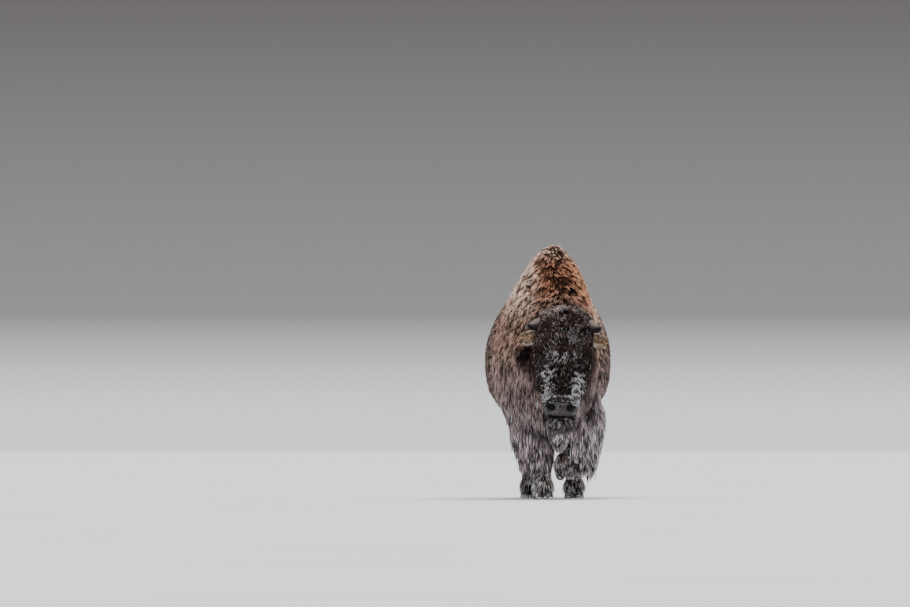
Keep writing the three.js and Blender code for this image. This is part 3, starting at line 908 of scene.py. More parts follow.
def mesh_object(
    name: str,
    points: Array,
    faces: Array,
    colours: Array | None = None,
    uv: Array | None = None,
) -> Object:
    """Makes an object at the origin from arrays.

    Args:
        name: Name of the object and its mesh.
        points: N x 3 places.
        faces: F x 3 or F x 4 indices.
        colours: N x 3 linear colours, if any.
        uv: One pair per corner of each face, for the map OFBake.

    Returns:
        The object, linked to the scene and shaded smooth.
    """
    mesh = bpy.data.meshes.new(name)
    corners = faces.shape[1]
    mesh.vertices.add(len(points))
    mesh.vertices.foreach_set("co", points.astype(np.float32).ravel())
    mesh.loops.add(faces.size)
    mesh.loops.foreach_set("vertex_index", faces.astype(np.int32).ravel())
    mesh.polygons.add(len(faces))
    mesh.polygons.foreach_set("loop_start", np.arange(len(faces), dtype=np.int32) * corners)
    mesh.update(calc_edges=True)
    if uv is not None:
        layer = mesh.uv_layers.new(name="OFBake")
        layer.uv.foreach_set("vector", uv.astype(np.float32).ravel())
    if colours is not None:
        paint_points(mesh, colours)
    mesh.shade_smooth()
    return stand(bpy.data.objects.new(name, mesh))


def stand(thing: Object) -> Object:
    """Links an object to the scene and hands it back."""
    bpy.context.scene.collection.objects.link(thing)
    return thing


def paint_points(mesh: bpy.types.Mesh, colours: Array) -> None:
    """Writes one linear colour per point into the attribute coat_colour.

    Args:
        mesh: The mesh to paint.
        colours: N x 3 linear colours.
    """
    layer = mesh.attributes.new("coat_colour", "FLOAT_COLOR", "POINT")
    rgba = np.ones((len(colours), 4), np.float32)
    rgba[:, :3] = colours
    layer.data.foreach_set("color", rgba.ravel())


def outward(thing: Object) -> Object:
    """Turns every face of a closed piece so that its outer side is out.

    Args:
        thing: The piece.

    Returns:
        The same piece.
    """
    mesh = bmesh.new()
    mesh.from_mesh(thing.data)
    bmesh.ops.recalc_face_normals(mesh, faces=mesh.faces)
    mesh.to_mesh(thing.data)
    mesh.free()
    return thing


def put(thing: Object, material: Material, slot: str, *nodes: str) -> Object:
    """Gives a piece its material, fixes it to the frame and lets it stand for nodes.

    Args:
        thing: The piece.
        material: Its material.
        slot: Not used.
        nodes: Nodes of the frame that it replaces.

    Returns:
        The same piece.
    """
    thing.data.materials.clear()
    thing.data.materials.append(material)
    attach(thing, "root")
    if nodes:
        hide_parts(*nodes)
    return thing


# ---- colours of the coat ----


@dataclass(frozen=True)
class Markings:
    """Colours of hair and skin by place, shared by the skin and every lock.

    A pair is where a change begins and where it is complete, in metres: along the frame's axes on
    the body, along the head's own on the head. A spot is the middle of a patch, a half its half size.
    """

    flesh: Flesh
    rust: Shade = (132, 94, 72)
    dark_rust: Shade = (104, 71, 54)
    frosted_tan: Shade = (164, 136, 121)
    tan: Shade = (108, 87, 77)
    grey_tan: Shade = (96, 84, 81)
    flank: Shade = (74, 63, 60)
    head: Shade = (36, 27, 25)
    crown: Shade = (40, 30, 27)
    curl_tips: Shade = (116, 108, 108)
    crown_fringe: Shade = (128, 115, 108)
    chaps: Shade = (92, 83, 83)
    fill_lit_chaps: Shade = (104, 95, 95)
    beard: Shade = (84, 78, 79)
    shank: Shade = (98, 87, 84)
    ear: Shade = (146, 119, 97)
    ear_rim: Shade = (184, 164, 148)
    tail: Shade = (48, 38, 34)
    leather: Shade = (48, 43, 46)
    leather_speck_and_highlight: Shade = (128, 122, 127)
    leather_crease_shade: Shade = (24, 21, 23)
    pad_edge_shade: Shade = (30, 27, 28)
    nostril_wing_shade: Shade = (22, 19, 21)
    nostril_hole_shade: Shade = (14, 11, 12)
    lid: Shade = (24, 19, 19)
    frost: Shade = (246, 244, 248)
    cape_rear: Pair = (0.11, -0.17)
    cape_slant: float = 0.22
    cape_level: float = 1.1
    grey_below: Pair = (1.15, 0.80)
    chaps_below: Pair = (0.80, 0.55)
    hump_above: Pair = (1.15, 1.50)
    hump_front: Pair = (-1.05, -0.75)
    hump_rear: Pair = (0.20, -0.10)
    rust_side: Pair = (-0.12, 0.05)
    rust_far: Pair = (0.22, 0.32)
    rust_rear: Pair = (0.05, -0.25)
    spine_side: Pair = (0.13, 0.03)
    spine_front: Pair = (-0.42, -0.60)
    crest_above: Pair = (1.64, 1.77)
    shadow_gap: Pair = (0.17, 0.03)
    shadow_above: Pair = (0.75, 0.95)
    fill_light_side: Pair = (0.02, 0.12)
    fill_light_below: Pair = (0.85, 0.62)
    shoulder_gap_shade_spot: Pair = (0.28, 0.70)
    shoulder_gap_shade_side: Pair = (0.090, 0.030)
    shoulder_gap_shade_height: Pair = (0.17, 0.08)
    curls_spot: Pair = (0.058, 0.175)
    curls_half: Pair = (0.040, 0.060)
    fringe_along: Pair = (0.070, -0.040)
    fringe_side: Pair = (0.02, 0.06)
    chin_along: Pair = (0.745, 0.785)
    ear_shade_spot: Pair = (0.250, 0.225)
    ear_shade_half: Pair = (0.050, 0.072)
    thigh_below: Pair = (0.9, 0.6)

    def coat(self, points: Array, part: Array) -> Array:
        """Colour of the hair at each place.

        Args:
            points: N x 3 places.
            part: The body at each place.

        Returns:
            N x 3 linear colours.
        """
        colour = self.trunk(points)
        for bodies, shade in (
            (FACE, self.head),
            ((Part.CROWN,), self.crown),
            ((Part.BEARD,), self.beard),
            (EARS, self.ear),
            ((Part.FORE_RIGHT_UPPER,), self.chaps),
            # Painted fill light: the left foreleg's chaps are lighter than the right's.
            ((Part.FORE_LEFT_UPPER, Part.LEG_LOCK), self.fill_lit_chaps),
            (SHANKS, self.shank),
            ((Part.TAIL_TUFT,), self.tail),
        ):
            colour[among(part, *bodies)] = linear(shade)
        colour = self.mark_head(colour, to_head(points), part)
        for ear in EARS:
            inside = among(part, ear)
            if inside.any():
                across = self.flesh.lofts[ear][0].local(points[inside])[:, 0]
                rim = ease(0.55, 0.95, np.abs(across) / 0.045)
                colour[inside] = mix(colour[inside], linear(self.ear_rim), rim * 0.8)
        thighs = among(part, *THIGHS)
        fade = ease(*self.thigh_below, points[thighs, 2])
        colour[thighs] = mix(colour[thighs], linear(self.shank), fade)
        return colour

    def trunk(self, points: Array) -> Array:
        """Colour of the trunk: tan cape, rusty hump, greyer chest, dark flanks, painted shade and fill light.

        Args:
            points: N x 3 places.

        Returns:
            N x 3 linear colours.
        """
        x, y, z = points.T
        edge = y - self.cape_slant * (z - self.cape_level)
        edge = edge + 0.16 * (value_noise(points, 0.14, Pattern.CAPE_EDGE) - 0.5)
        edge = edge + 0.07 * (value_noise(points, 0.04, Pattern.CAPE_RAG) - 0.5)
        wool = mix(linear(self.tan), linear(self.grey_tan), ease(*self.grey_below, z))
        hump = ease(*self.hump_above, z + 0.35 * (x - 0.02))
        hump = hump * ease(*self.hump_front, y) * ease(*self.hump_rear, y)
        # Rust-brown hair over the middle and left of the hump: partly the hair's own colour, partly painted
        # warm light on that side.
        rust_and_warm_light = ease(*self.rust_side, x) * (1 - 0.55 * ease(*self.rust_far, x)) * ease(*self.rust_rear, y)
        top = mix(linear(self.frosted_tan), linear(self.rust), rust_and_warm_light)
        spine = ease(*self.spine_side, np.abs(x - 0.05)) * ease(*self.spine_front, y)
        top = mix(top, linear(self.dark_rust), spine)
        top = mix(top, linear(self.frosted_tan), ease(*self.crest_above, z) * 0.75)
        wool = mix(wool, top, hump)
        wool = mix(wool, linear(self.chaps), ease(*self.chaps_below, z))
        flank = np.tile(linear(self.flank), (len(points), 1))
        colour = mix(flank, wool, ease(*self.cape_rear, edge))
        head_gap = self.flesh.lofts[Part.HEAD][0].distance(points, 0.0)
        # Painted shadow of the head on the neck hair.
        shadow = ease(*self.shadow_gap, head_gap) * ease(*self.shadow_above, z) * (y < -0.6)
        colour = mix(colour, linear(self.head) * 0.45, shadow * 0.85)
        # Painted shade in the hollows below the ears.
        colour = mix(colour, linear(self.head) * 0.22, self.shade_under_ears(points) * 0.95)
        in_front = y < -0.2
        # Painted fill light: the chaps on the animal's left front are lighter, making up for the shade that
        # side gets.
        fill_light = ease(*self.fill_light_side, x) * in_front
        chaps = mix(linear(self.chaps), linear(self.fill_lit_chaps), fill_light)
        colour = mix(colour, chaps, fill_light * ease(*self.fill_light_below, z))
        # Painted shade beside the muzzle, between the head and the left shoulder.
        shoulder_gap_shade = ease(*self.shoulder_gap_shade_side, np.abs(x - self.shoulder_gap_shade_spot[0]))
        shoulder_gap_shade = shoulder_gap_shade * ease(*self.shoulder_gap_shade_height, np.abs(z - self.shoulder_gap_shade_spot[1])) * in_front
        return mix(colour, linear(self.head), shoulder_gap_shade * 0.60)

    def mark_head(self, colour: Array, local: Array, part: Array) -> Array:
        """Lightens a patch of curls, the upper fringe of the crown and the chin.

        Args:
            colour: N x 3 linear colours so far.
            local: N x 3 places in the head's axes.
            part: The body at each place.

        Returns:
            N x 3 linear colours.
        """
        side, front, along = local.T
        is_crown = among(part, Part.CROWN)
        across = (side - self.curls_spot[0]) / self.curls_half[0]
        down = (along - self.curls_spot[1]) / self.curls_half[1]
        curls = ease(1.2, 0.4, np.hypot(across, down)) * (front > 0.0)
        colour = mix(colour, linear(self.curl_tips), np.where(is_crown, 0.50 * curls, 0.0))
        beside = 0.45 + 0.55 * ease(*self.fringe_side, np.abs(side - 0.05))
        fringe = ease(*self.fringe_along, along) * beside
        colour = mix(colour, linear(self.crown_fringe), np.where(is_crown, 0.80 * fringe, 0.0))
        chin = np.where(among(part, Part.HEAD), 0.45 * ease(*self.chin_along, along), 0.0)
        return mix(colour, linear(self.beard), chin)

    def shade_under_ears(self, points: Array) -> Array:
        """Finds the painted shade in the hollow behind the jaw below each ear.

        Args:
            points: N x 3 places.

        Returns:
            One in the painted shade of a hollow, nought away from it.
        """
        local = to_head(points)
        ear_shade = np.zeros(len(points))
        for hand in (1, -1):
            across = (local[:, 0] * hand - self.ear_shade_spot[0]) / self.ear_shade_half[0]
            down = (local[:, 2] - self.ear_shade_spot[1]) / self.ear_shade_half[1]
            ear_shade = np.maximum(ear_shade, ease(1.25, 0.55, np.hypot(across, down)))
        return ear_shade * ease(-0.45, -0.30, local[:, 1])

    def snow_on_face(self, local: Array) -> Array:
        """Share of frosted locks on the flanks of the nose, above its pad, on the brow and the chin.

        Args:
            local: N x 3 places in the head's axes.

        Returns:
            The largest of the four shares at each place.
        """
        side, along = np.abs(local[:, 0]), local[:, 2]
        far = local[:, 0] > 0
        flanks = ease(0, 0.035, side - np.where(far, 0.052, 0.022)) * ease(0.175, 0.115, side)
        flanks = flanks * ease(0, 0.12, along - np.where(far, 0.38, 0.33)) * np.where(far, 1.85, 0.82)
        flanks = flanks * ease(0.700, 0.640, along)
        above_nose = ease(0.580, 0.615, along) * ease(0.740, 0.715, along)
        above_nose = above_nose * ease(0.125, 0.10, side)
        brow = ease(0.26, 0.30, along) * ease(0.40, 0.33, along) * ease(0.13, 0.09, side)
        chin = ease(0.735, 0.76, along)
        return np.maximum(np.maximum(0.40 * flanks, 0.62 * above_nose), np.maximum(0.22 * brow, 0.21 * chin))

    def frosting(self, points: Array, part: Array) -> tuple[Array, Array, Array]:
        """Frost on the locks.

        Args:
            points: N x 3 places.
            part: The body at each place.

        Returns:
            The share of locks with frost, how white the whitest are, and a power below one where
            most of them are nearly as white as that.
        """
        y, z = points[:, 1], points[:, 2]
        local = to_head(points)
        is_face, is_crown, is_leg = among(part, *FACE), among(part, Part.CROWN), among(part, *SHANKS)
        strongest = self.snow_on_face(local)
        share = 0.20 * ease(0.80, 0.5, z) * (y < -0.2)
        share = np.where(is_face, 0.01 + (0.07 + strongest) * ease(-0.04, 0.04, local[:, 1]), share)
        share = np.where(among(part, Part.BEARD, Part.CROWN), 0.20, share)
        share = np.where(is_leg, 0.66 * ease(0.55, 0.22, z), share)
        share = share * np.where(among(part, Part.FORE_LEFT_LOWER), 0.55, 1.0)
        share = share * np.where(is_leg & (y > 0), 0.75, 1.0)
        fine = value_noise(points, 0.012, Pattern.FROST_FINE)
        coarse = value_noise(points, 0.032, Pattern.FROST_COARSE)
        patches = 2.1 * ease(0.30, 0.80, 0.6 * fine + 0.4 * coarse)
        whitest = np.where(is_crown, 0.30, np.where(is_face & (strongest < 0.12), 0.55, 1.0))
        power = np.where((z < 0.5) | (is_face & (strongest > 0.25)), 0.4, 1.0)
        return share * patches, whitest, power


# ---- materials ----


class Nodes:
    """A short way to build the node tree of one material."""

    def __init__(self, name: str) -> None:
        """Starts a material with its own node tree.

        Args:
            name: Its name.
        """
        self.material = bpy.data.materials.new(name)
        self.material.use_nodes = True
        self.tree = self.material.node_tree
        self.shader = self.tree.nodes["Principled BSDF"]

    def add(self, kind: str, **values: object) -> bpy.types.Node:
        """Adds a node.

        Args:
            kind: Type of the node.
            values: Names of inputs set their values, other names set the node's own fields.

        Returns:
            The node.
        """
        node = self.tree.nodes.new(kind)
        for key, value in values.items():
            label = key.replace("_", " ")
            if label in node.inputs:
                node.inputs[label].default_value = value
            else:
                setattr(node, key, value)
        return node

    def link(self, source: Socket, target: Socket) -> None:
        """Joins two sockets."""
        self.tree.links.new(source, target)

    def paint(self) -> None:
        """Takes the base colour from the attribute coat_colour."""
        colour = self.add("ShaderNodeAttribute", attribute_name="coat_colour")
        self.link(colour.outputs["Color"], self.shader.inputs["Base Color"])

    def noise(self, scale: float, detail: float = 3.0) -> Socket:
        """Adds noise in the object's own coordinates.

        Args:
            scale: Waves of the noise in a metre.
            detail: Octaves of it.

        Returns:
            The socket with the noise.
        """
        place = self.add("ShaderNodeTexCoord")
        node = self.add("ShaderNodeTexNoise", Scale=scale, Detail=detail)
        self.link(place.outputs["Object"], node.inputs["Vector"])
        return node.outputs["Fac"]

    def ramp(
        self, source: Socket, low: float, high: float, a: Array, b: Array
    ) -> Socket:
        """Adds a colour that goes from one to another.

        Args:
            source: The socket that steers it.
            low: Where the first colour ends.
            high: Where the second colour begins.
            a: The first colour.
            b: The second colour.

        Returns:
            The socket with the colour.
        """
        node = self.add("ShaderNodeValToRGB")
        for element, position, colour in zip(node.color_ramp.elements, (low, high), (a, b)):
            element.position, element.color = position, (*colour, 1)
        self.link(source, node.inputs["Fac"])
        return node.outputs["Color"]

    def mottle(self, scale: float, detail: float, dark: float, light: float) -> None:
        """Takes the base colour from coat_colour, darkened and lightened by noise.

        Args:
            scale: Waves of the noise in a metre.
            detail: Octaves of it.
            dark: Factor on the colour where the noise is low.
            light: Factor on the colour where it is high.
        """
        colour = self.add("ShaderNodeAttribute", attribute_name="coat_colour")
        factor = self.ramp(self.noise(scale, detail), 0.32, 0.68, np.full(3, dark), np.full(3, light))
        shaded = self.add("ShaderNodeMix", data_type="RGBA", blend_type="MULTIPLY")
        shaded.inputs[0].default_value = 1.0
        self.link(colour.outputs["Color"], shaded.inputs[6])
        self.link(factor, shaded.inputs[7])
        self.link(shaded.outputs[2], self.shader.inputs["Base Color"])

    def bump(self, source: Socket, depth: float, strength: float = 0.6) -> None:
        """Presses a height into the surface.

        Args:
            source: The socket with the height.
            depth: Its depth in metres.
            strength: How much of it is shown.
        """
        node = self.add("ShaderNodeBump", Strength=strength, Distance=depth)
        self.link(source, node.inputs["Height"])
        self.link(node.outputs["Normal"], self.shader.inputs["Normal"])

    def set(self, **values: object) -> None:
        """Sets constants of the shader."""
        for key, value in values.items():
            self.shader.inputs[key.replace("_", " ")].default_value = value


@dataclass(frozen=True)
class HairFinish:
    """Matt hair that takes its colour from coat_colour."""

    roughness: float = 0.80
    specular: float = 0.06

    def make(self, name: str) -> Material:
        """Builds the material.

        Args:
            name: Its name.

        Returns:
            The material.
        """
        nodes = Nodes(name)
        nodes.paint()
        nodes.set(Roughness=self.roughness, Specular_IOR_Level=self.specular)
        return nodes.material


@dataclass(frozen=True)
class SkinFinish:
    """Skin under the hair, and wet grey leather where the attribute bare is one."""

    roughness: float = 0.75
    wet: float = 0.38
    specular: float = 0.3
    grain: float = 420.0
    depth: float = 0.0022

    def make(self, name: str) -> Material:
        """Builds the material.

        Args:
            name: Its name.

        Returns:
            The material.
        """
        nodes = Nodes(name)
        nodes.paint()
        bare = nodes.add("ShaderNodeAttribute", attribute_name="bare")
        rough = nodes.add("ShaderNodeMapRange", To_Min=self.roughness, To_Max=self.wet)
        nodes.link(bare.outputs["Fac"], rough.inputs["Value"])
        nodes.link(rough.outputs["Result"], nodes.shader.inputs["Roughness"])
        nodes.bump(nodes.noise(self.grain, 2.0), self.depth, 0.5)
        nodes.set(Specular_IOR_Level=self.specular)
        return nodes.material


@dataclass(frozen=True)
class HornFinish:
    """Weathered keratin, with painted sheen on the horns' tops: colour from coat_colour, mottled, fine rough
    grain.
    """

    roughness: float = 0.50
    spots: float = 150.0
    factors: Pair = (0.45, 1.5)
    grain: float = 180.0
    depth: float = 0.0022

    def make(self, name: str) -> Material:
        """Builds the material.

        Args:
            name: Its name.

        Returns:
            The material.
        """
        nodes = Nodes(name)
        nodes.mottle(self.spots, 6.0, *self.factors)
        nodes.bump(nodes.noise(self.grain, 4.0), self.depth)
        nodes.set(Roughness=self.roughness)
        return nodes.material


@dataclass(frozen=True)
class HoofFinish(HornFinish):
    """Worn horn of the claws: colour from coat_colour, scuffed and dull."""

    roughness: float = 0.62
    spots: float = 90.0
    factors: Pair = (0.40, 1.7)
    grain: float = 240.0
    depth: float = 0.0018


@dataclass(frozen=True)
class EyeFinish:
    """Dark brown iris and a wide pupil under a wet cornea, told apart by the attribute coat_colour."""

    roughness: float = 0.16
    specular: float = 0.17
    coat: float = 0.05
    coat_roughness: float = 0.04

    def make(self, name: str) -> Material:
        """Builds the material.

        Args:
            name: Its name.

        Returns:
            The material.
        """
        nodes = Nodes(name)
        nodes.paint()
        nodes.set(Roughness=self.roughness, Coat_Weight=self.coat, Coat_Roughness=self.coat_roughness)
        nodes.set(Specular_IOR_Level=self.specular)
        return nodes.material


@dataclass(frozen=True)
class GroundFinish:
    """Flat pale ground, softly uneven in tone."""

    low: Shade = (236, 237, 241)
    high: Shade = (243, 244, 248)

    def make(self, name: str) -> Material:
        """Builds the material.

        Args:
            name: Its name.

        Returns:
            The material.
        """
        nodes = Nodes(name)
        colour = nodes.ramp(nodes.noise(0.8, 6.0), 0.35, 0.65, linear(self.low), linear(self.high))
        nodes.link(colour, nodes.shader.inputs["Base Color"])
        nodes.set(Roughness=0.9, Specular_IOR_Level=0.1)
        return nodes.material


@dataclass(frozen=True)
class BackdropFinish:
    """A wall far behind that goes from white at the ground to soft grey above."""

    low: Shade = (240, 241, 245)
    middle: Shade = (143, 142, 142)
    high: Shade = (92, 90, 88)
    rise: float = 28.0

    def make(self, name: str) -> Material:
        """Builds the material.

        Args:
            name: Its name.

        Returns:
            The material.
        """
        nodes = Nodes(name)
        place = nodes.add("ShaderNodeTexCoord")
        axes = nodes.add("ShaderNodeSeparateXYZ")
        nodes.link(place.outputs["Object"], axes.inputs["Vector"])
        height = nodes.add("ShaderNodeMapRange", From_Max=self.rise)
        nodes.link(axes.outputs["Z"], height.inputs["Value"])
        colour = nodes.ramp(height.outputs["Result"], 0.07, 0.75, linear(self.low), linear(self.high))
        stop = colour.node.color_ramp.elements.new(0.20)
        stop.color = (*linear(self.middle), 1)
        nodes.link(colour, nodes.shader.inputs["Base Color"])
        nodes.set(Roughness=1.0, Specular_IOR_Level=0.0)
        return nodes.material


# ---- the skin ----


@dataclass
class Skin:
    """One closed surface over all the flesh, finer on the face."""

    flesh: Flesh
    markings: Markings
    voxel: float = 13 * MM
    block_side: int = 8
    lowest: Triple = (-0.56, -1.40, -0.02)
    highest: Triple = (0.56, 1.40, 1.90)
    face_span: Pair = (0.28, 0.86)
    nose_span: Pair = (0.60, 0.78)
    eye_reach: float = 0.055
    pad_half: Pair = (0.112, 0.041)
    pad_along: float = 0.701

    def grid(self) -> tuple[Array, Array]:
        """Reads the distance on a lattice, fully only near the surface.

        Returns:
            The lattice's lowest corner, and the distances as a block.
        """
        lo, hi = np.array(self.lowest), np.array(self.highest)
        shape = np.ceil((hi - lo) / self.voxel).astype(int)
        limit, step = 3 * self.voxel, self.block_side
        block = np.full(shape, limit, np.float32)
        axes = [np.arange(0, n, step) for n in shape]
        coarse = np.stack(np.meshgrid(*axes, indexing="ij"), -1).reshape(-1, 3)
        middle = lo + (coarse + step / 2) * self.voxel
        gap = self.flesh.distance(middle)
        reach = step * self.voxel * 1.25 + 0.03
        for start in coarse[gap < -reach]:
            block[tuple(slice(s, s + step) for s in start)] = -limit
        near = coarse[np.abs(gap) <= reach]
        inner = np.stack(np.meshgrid(*[np.arange(step)] * 3, indexing="ij"), -1).reshape(-1, 3)
        cells = (near[:, None] + inner[None]).reshape(-1, 3)
        cells = cells[np.all(cells < shape, axis=1)]
        values = self.flesh.distance(lo + cells * self.voxel)
        block[tuple(cells.T)] = np.clip(values, -limit, limit)
        return lo, block

    def normals(self, points: Array, step: float = 2 * MM) -> Array:
        """Finds the slope of the distance by central differences.

        Args:
            points: N x 3 places.
            step: How far to either side the distance is read.

        Returns:
            N x 3 outward directions.
        """
        slope = np.empty_like(points)
        for k in range(3):
            shift = np.zeros(3)
            shift[k] = step
            slope[:, k] = self.flesh.distance(points + shift) - self.flesh.distance(points - shift)
        return unit(slope)

    def settle(self, points: Array, rounds: int) -> Array:
        """Moves points along the slope of the distance until they lie on the surface.

        Args:
            points: N x 3 places near the surface.
            rounds: How often they are moved.

        Returns:
            N x 3 places on the surface.
        """
        for _ in range(rounds):
            gap = self.flesh.distance(points)
            points = points - self.normals(points) * np.clip(gap, -0.01, 0.01)[:, None] * 0.9
        return points

    def refine(self, mesh: bmesh.types.BMesh) -> None:
        """Splits the edges of the face once and those of the nose and the eyes once more.

        Args:
            mesh: The surface, which is left in triangles.
        """
        for fine in (False, True):
            spots = np.array([v.co for v in mesh.verts])
            _, front, along = to_head(spots).T
            low, high = self.nose_span if fine else self.face_span
            pick = (along > low) & (along < high) & (front > (0.01 if fine else -0.08))
            if fine:
                pick |= np.min([EyeSeat(hand).gap(spots) for hand in (1, -1)], axis=0) < self.eye_reach
            edges = [e for e in mesh.edges if pick[e.verts[0].index] and pick[e.verts[1].index]]
            bmesh.ops.subdivide_edges(mesh, edges=edges, cuts=1, use_grid_fill=True)
            mesh.verts.ensure_lookup_table()
            mesh.verts.index_update()
        bmesh.ops.triangulate(mesh, faces=mesh.faces)
        bmesh.ops.recalc_face_normals(mesh, faces=mesh.faces)

    def build(self) -> Object:
        """Makes the surface, refines the face, settles it on the flesh and paints it.

        Returns:
            The skin.
        """
        lo, block = self.grid()
        grid = openvdb.FloatGrid(3 * self.voxel)
        grid.copyFromArray(block)
        points, faces = grid.convertToQuads(isovalue=0.0)
        points = points.astype(float) * self.voxel + lo
        body = bpy.data.meshes.new("skin")
        body.from_pydata(points.tolist(), [], faces[:, ::-1].tolist())
        mesh = bmesh.new()
        mesh.from_mesh(body)
        self.refine(mesh)
        mesh.to_mesh(body)
        mesh.free()
        spots = np.empty(len(body.vertices) * 3, np.float32)
        body.vertices.foreach_get("co", spots)
        spots = self.settle(spots.reshape(-1, 3).astype(float), 3)
        body.vertices.foreach_set("co", spots.astype(np.float32).ravel())
        colours, bare = self.paint(spots)
        paint_points(body, colours)
        layer = body.attributes.new("bare", "FLOAT", "POINT")
        layer.data.foreach_set("value", bare.astype(np.float32))
        body.shade_smooth()
        body.update()
        return stand(bpy.data.objects.new("skin", body))

    def bare_share(self, points: Array) -> Array:
        """Finds the hairless leather of the muzzle.

        Args:
            points: N x 3 places.

        Returns:
            One on the leather, nought elsewhere.
        """
        side, front, along = to_head(points).T
        across, down = self.pad_half
        pad = (np.abs(side) / across) ** 2.6 + (np.abs(along - self.pad_along) / down) ** 2.6
        return ease(1.06, 0.92, pad) * ease(0.0, 0.02, front)

    def paint(self, points: Array) -> tuple[Array, Array]:
        """Colours the points of the skin.

        Args:
            points: N x 3 places on the skin.

        Returns:
            N x 3 linear colours, and the share of bare leather.
        """
        look = self.markings
        part = self.flesh.part_of(points)
        # Painted shade: the skin is the hair's colour darkened, for its own darker tone and the shade in the
        # gaps between locks.
        under_hair = 0.12 + 0.20 * ease(-0.1, 0.3, points[:, 1])
        under_hair = np.where(among(part, *EARS), 0.45, under_hair)
        colour = look.coat(points, part) * under_hair[:, None]
        bare = self.bare_share(points)
        # Light specks: the leather's own speckle with painted highlights; dark creases: painted crease shade,
        # set by noise.
        speck_and_highlight = ease(0.55, 0.85, value_noise(points, 0.006, Pattern.LEATHER_SPECK))
        crease_shade = ease(0.42, 0.25, value_noise(points, 0.010, Pattern.LEATHER_CREASE))
        leather = mix(linear(look.leather), linear(look.leather_speck_and_highlight), speck_and_highlight * 0.5)
        leather = mix(leather, linear(look.leather_crease_shade), crease_shade * 0.6)
        colour = mix(colour, leather, bare)
        local = to_head(points)
        front = local[:, 1]
        for hand in (1, -1):
            u = local[:, 0] * hand - self.flesh.nostril_side
            v = local[:, 2] - self.flesh.nostril_along
            # Painted shade inside each nostril and round it.
            inside = ease(1.2, 0.8, np.hypot(u / 0.030, v / 0.024)) * ease(0.108, 0.094, front)
            wing_shade = ease(1.2, 0.7, np.hypot((u - 0.010) / 0.044, v / 0.032)) * (front > 0)
            colour = mix(colour, linear(look.nostril_wing_shade), wing_shade * 0.88)
            colour = mix(colour, linear(look.nostril_hole_shade), inside * (front > 0))
            # Painted shade along the outer edges of the pad.
            cheek = ease(0.078, 0.100, local[:, 0] * hand) * bare
            colour = mix(colour, linear(look.pad_edge_shade), cheek * 0.7)
            lid = ease(0.036, 0.024, EyeSeat(hand).gap(points))
            colour = mix(colour, linear(look.lid), lid)
        return colour, bare


# ---- the coat ----


@dataclass(frozen=True)
class Growth:
    """One piece of the coat: where it grows, how many locks it has and how they behave.

    The span is a stretch along Y in metres. Hand keeps one side of the body, or both when nought.
    """

    name: str
    parts: tuple[Part, ...]
    count: int
    slot: str
    span: Pair = (-9.0, 9.0)
    hand: int = 0
    rings: int = 2
    lift: float = 1.3
    clump: float = 0.024
    pull: float = 0.45
    droop: float = 0.25
    curl: float = 0.0
    scatter: float = 0.28
    contrast: float = 1.0
    spread: Pair = (0.72, 1.22)
    twist: Pair = (2.0, 4.5)

    def covers(self, points: Array, part: Array) -> Array:
        """Tells which places belong to this piece: by body, by stretch along Y and by side.

        Args:
            points: N x 3 places.
            part: The body at each place.

        Returns:
            True where they do.
        """
        x, y, _ = points.T
        inside = among(part, *self.parts)
        inside &= (y >= self.span[0]) & (y < self.span[1])
        if self.hand:
            inside &= np.sign(x - 0.02 * (y < -0.5)) == self.hand
        return inside


def both_sides(growth: Growth) -> tuple[Growth, Growth]:
    """The right and the left half of a piece."""
    sides = (("right", -1), ("left", 1))
    return tuple(replace(growth, name=f"{growth.name}_{side}", hand=hand) for side, hand in sides)


CAPE = Growth(
    "coat_cape", (Part.TRUNK,), 8500, "cape_wool", (-0.5, 0.0),
    lift=1.7, pull=0.7, curl=0.006, scatter=0.5, contrast=1.35,
)
CHAPS = Growth(
    "coat_chaps_right", (Part.FORE_RIGHT_UPPER,), 5300, "leg_hair", rings=3, lift=1.9, clump=0.036,
    pull=0.75, droop=1.0, scatter=0.3, contrast=1.15, spread=(0.6, 1.45),
)
BARREL = Growth(
    "coat_barrel", (Part.TRUNK,), 14000, "body_hair", (0.0, 0.75), rings=1,
    lift=1.9, pull=0.5, scatter=0.3, contrast=1.05, spread=(0.7, 1.4),
)
GROWTHS = (
    Growth("coat_face", FACE, 30000, "head_wool", rings=1, clump=0.014, pull=0.4, droop=0.3, scatter=0.35),
    Growth(
        "coat_crown", (Part.CROWN,), 8000, "head_wool", rings=4, lift=0.55, clump=0.030,
        pull=0.6, droop=0.3, curl=0.018, scatter=0.9, twist=(4.0, 8.0),
    ),
    Growth(
        "coat_beard", (Part.BEARD,), 4500, "head_wool", rings=3, clump=0.030, pull=0.6, droop=1.2, curl=0.008
    ),
    Growth(
        "coat_ears", EARS, 3500, "ear_hair", rings=1,
        lift=1.1, clump=0.012, pull=0.4, droop=0.3, contrast=0.65,
    ),
    *both_sides(replace(CAPE, name="coat_neck", count=9500, span=(-9, -0.5))),
    *both_sides(CAPE),
    CHAPS,
    replace(
        CHAPS, name="coat_chaps_left", parts=(Part.FORE_LEFT_UPPER, Part.LEG_LOCK),
        count=5700, lift=1.8, spread=(0.6, 1.4),
    ),
    *both_sides(BARREL),
    replace(BARREL, name="coat_rump", count=15000, span=(0.75, 9)),
    Growth("coat_thighs", THIGHS, 12000, "leg_hair", rings=1, lift=1.1, pull=0.4, scatter=0.2, contrast=0.6),
    Growth(
        "coat_shanks", SHANKS, 9000, "leg_hair", rings=1,
        lift=1.6, clump=0.018, pull=0.5, droop=0.8, contrast=1.40,
    ),
    Growth(
        "coat_tail", (Part.TAIL, Part.TAIL_TUFT), 2200, "body_hair", rings=3, clump=0.02, pull=0.4, droop=1.0
    ),
)


Choice = tuple[tuple[Part, ...], Array | float]


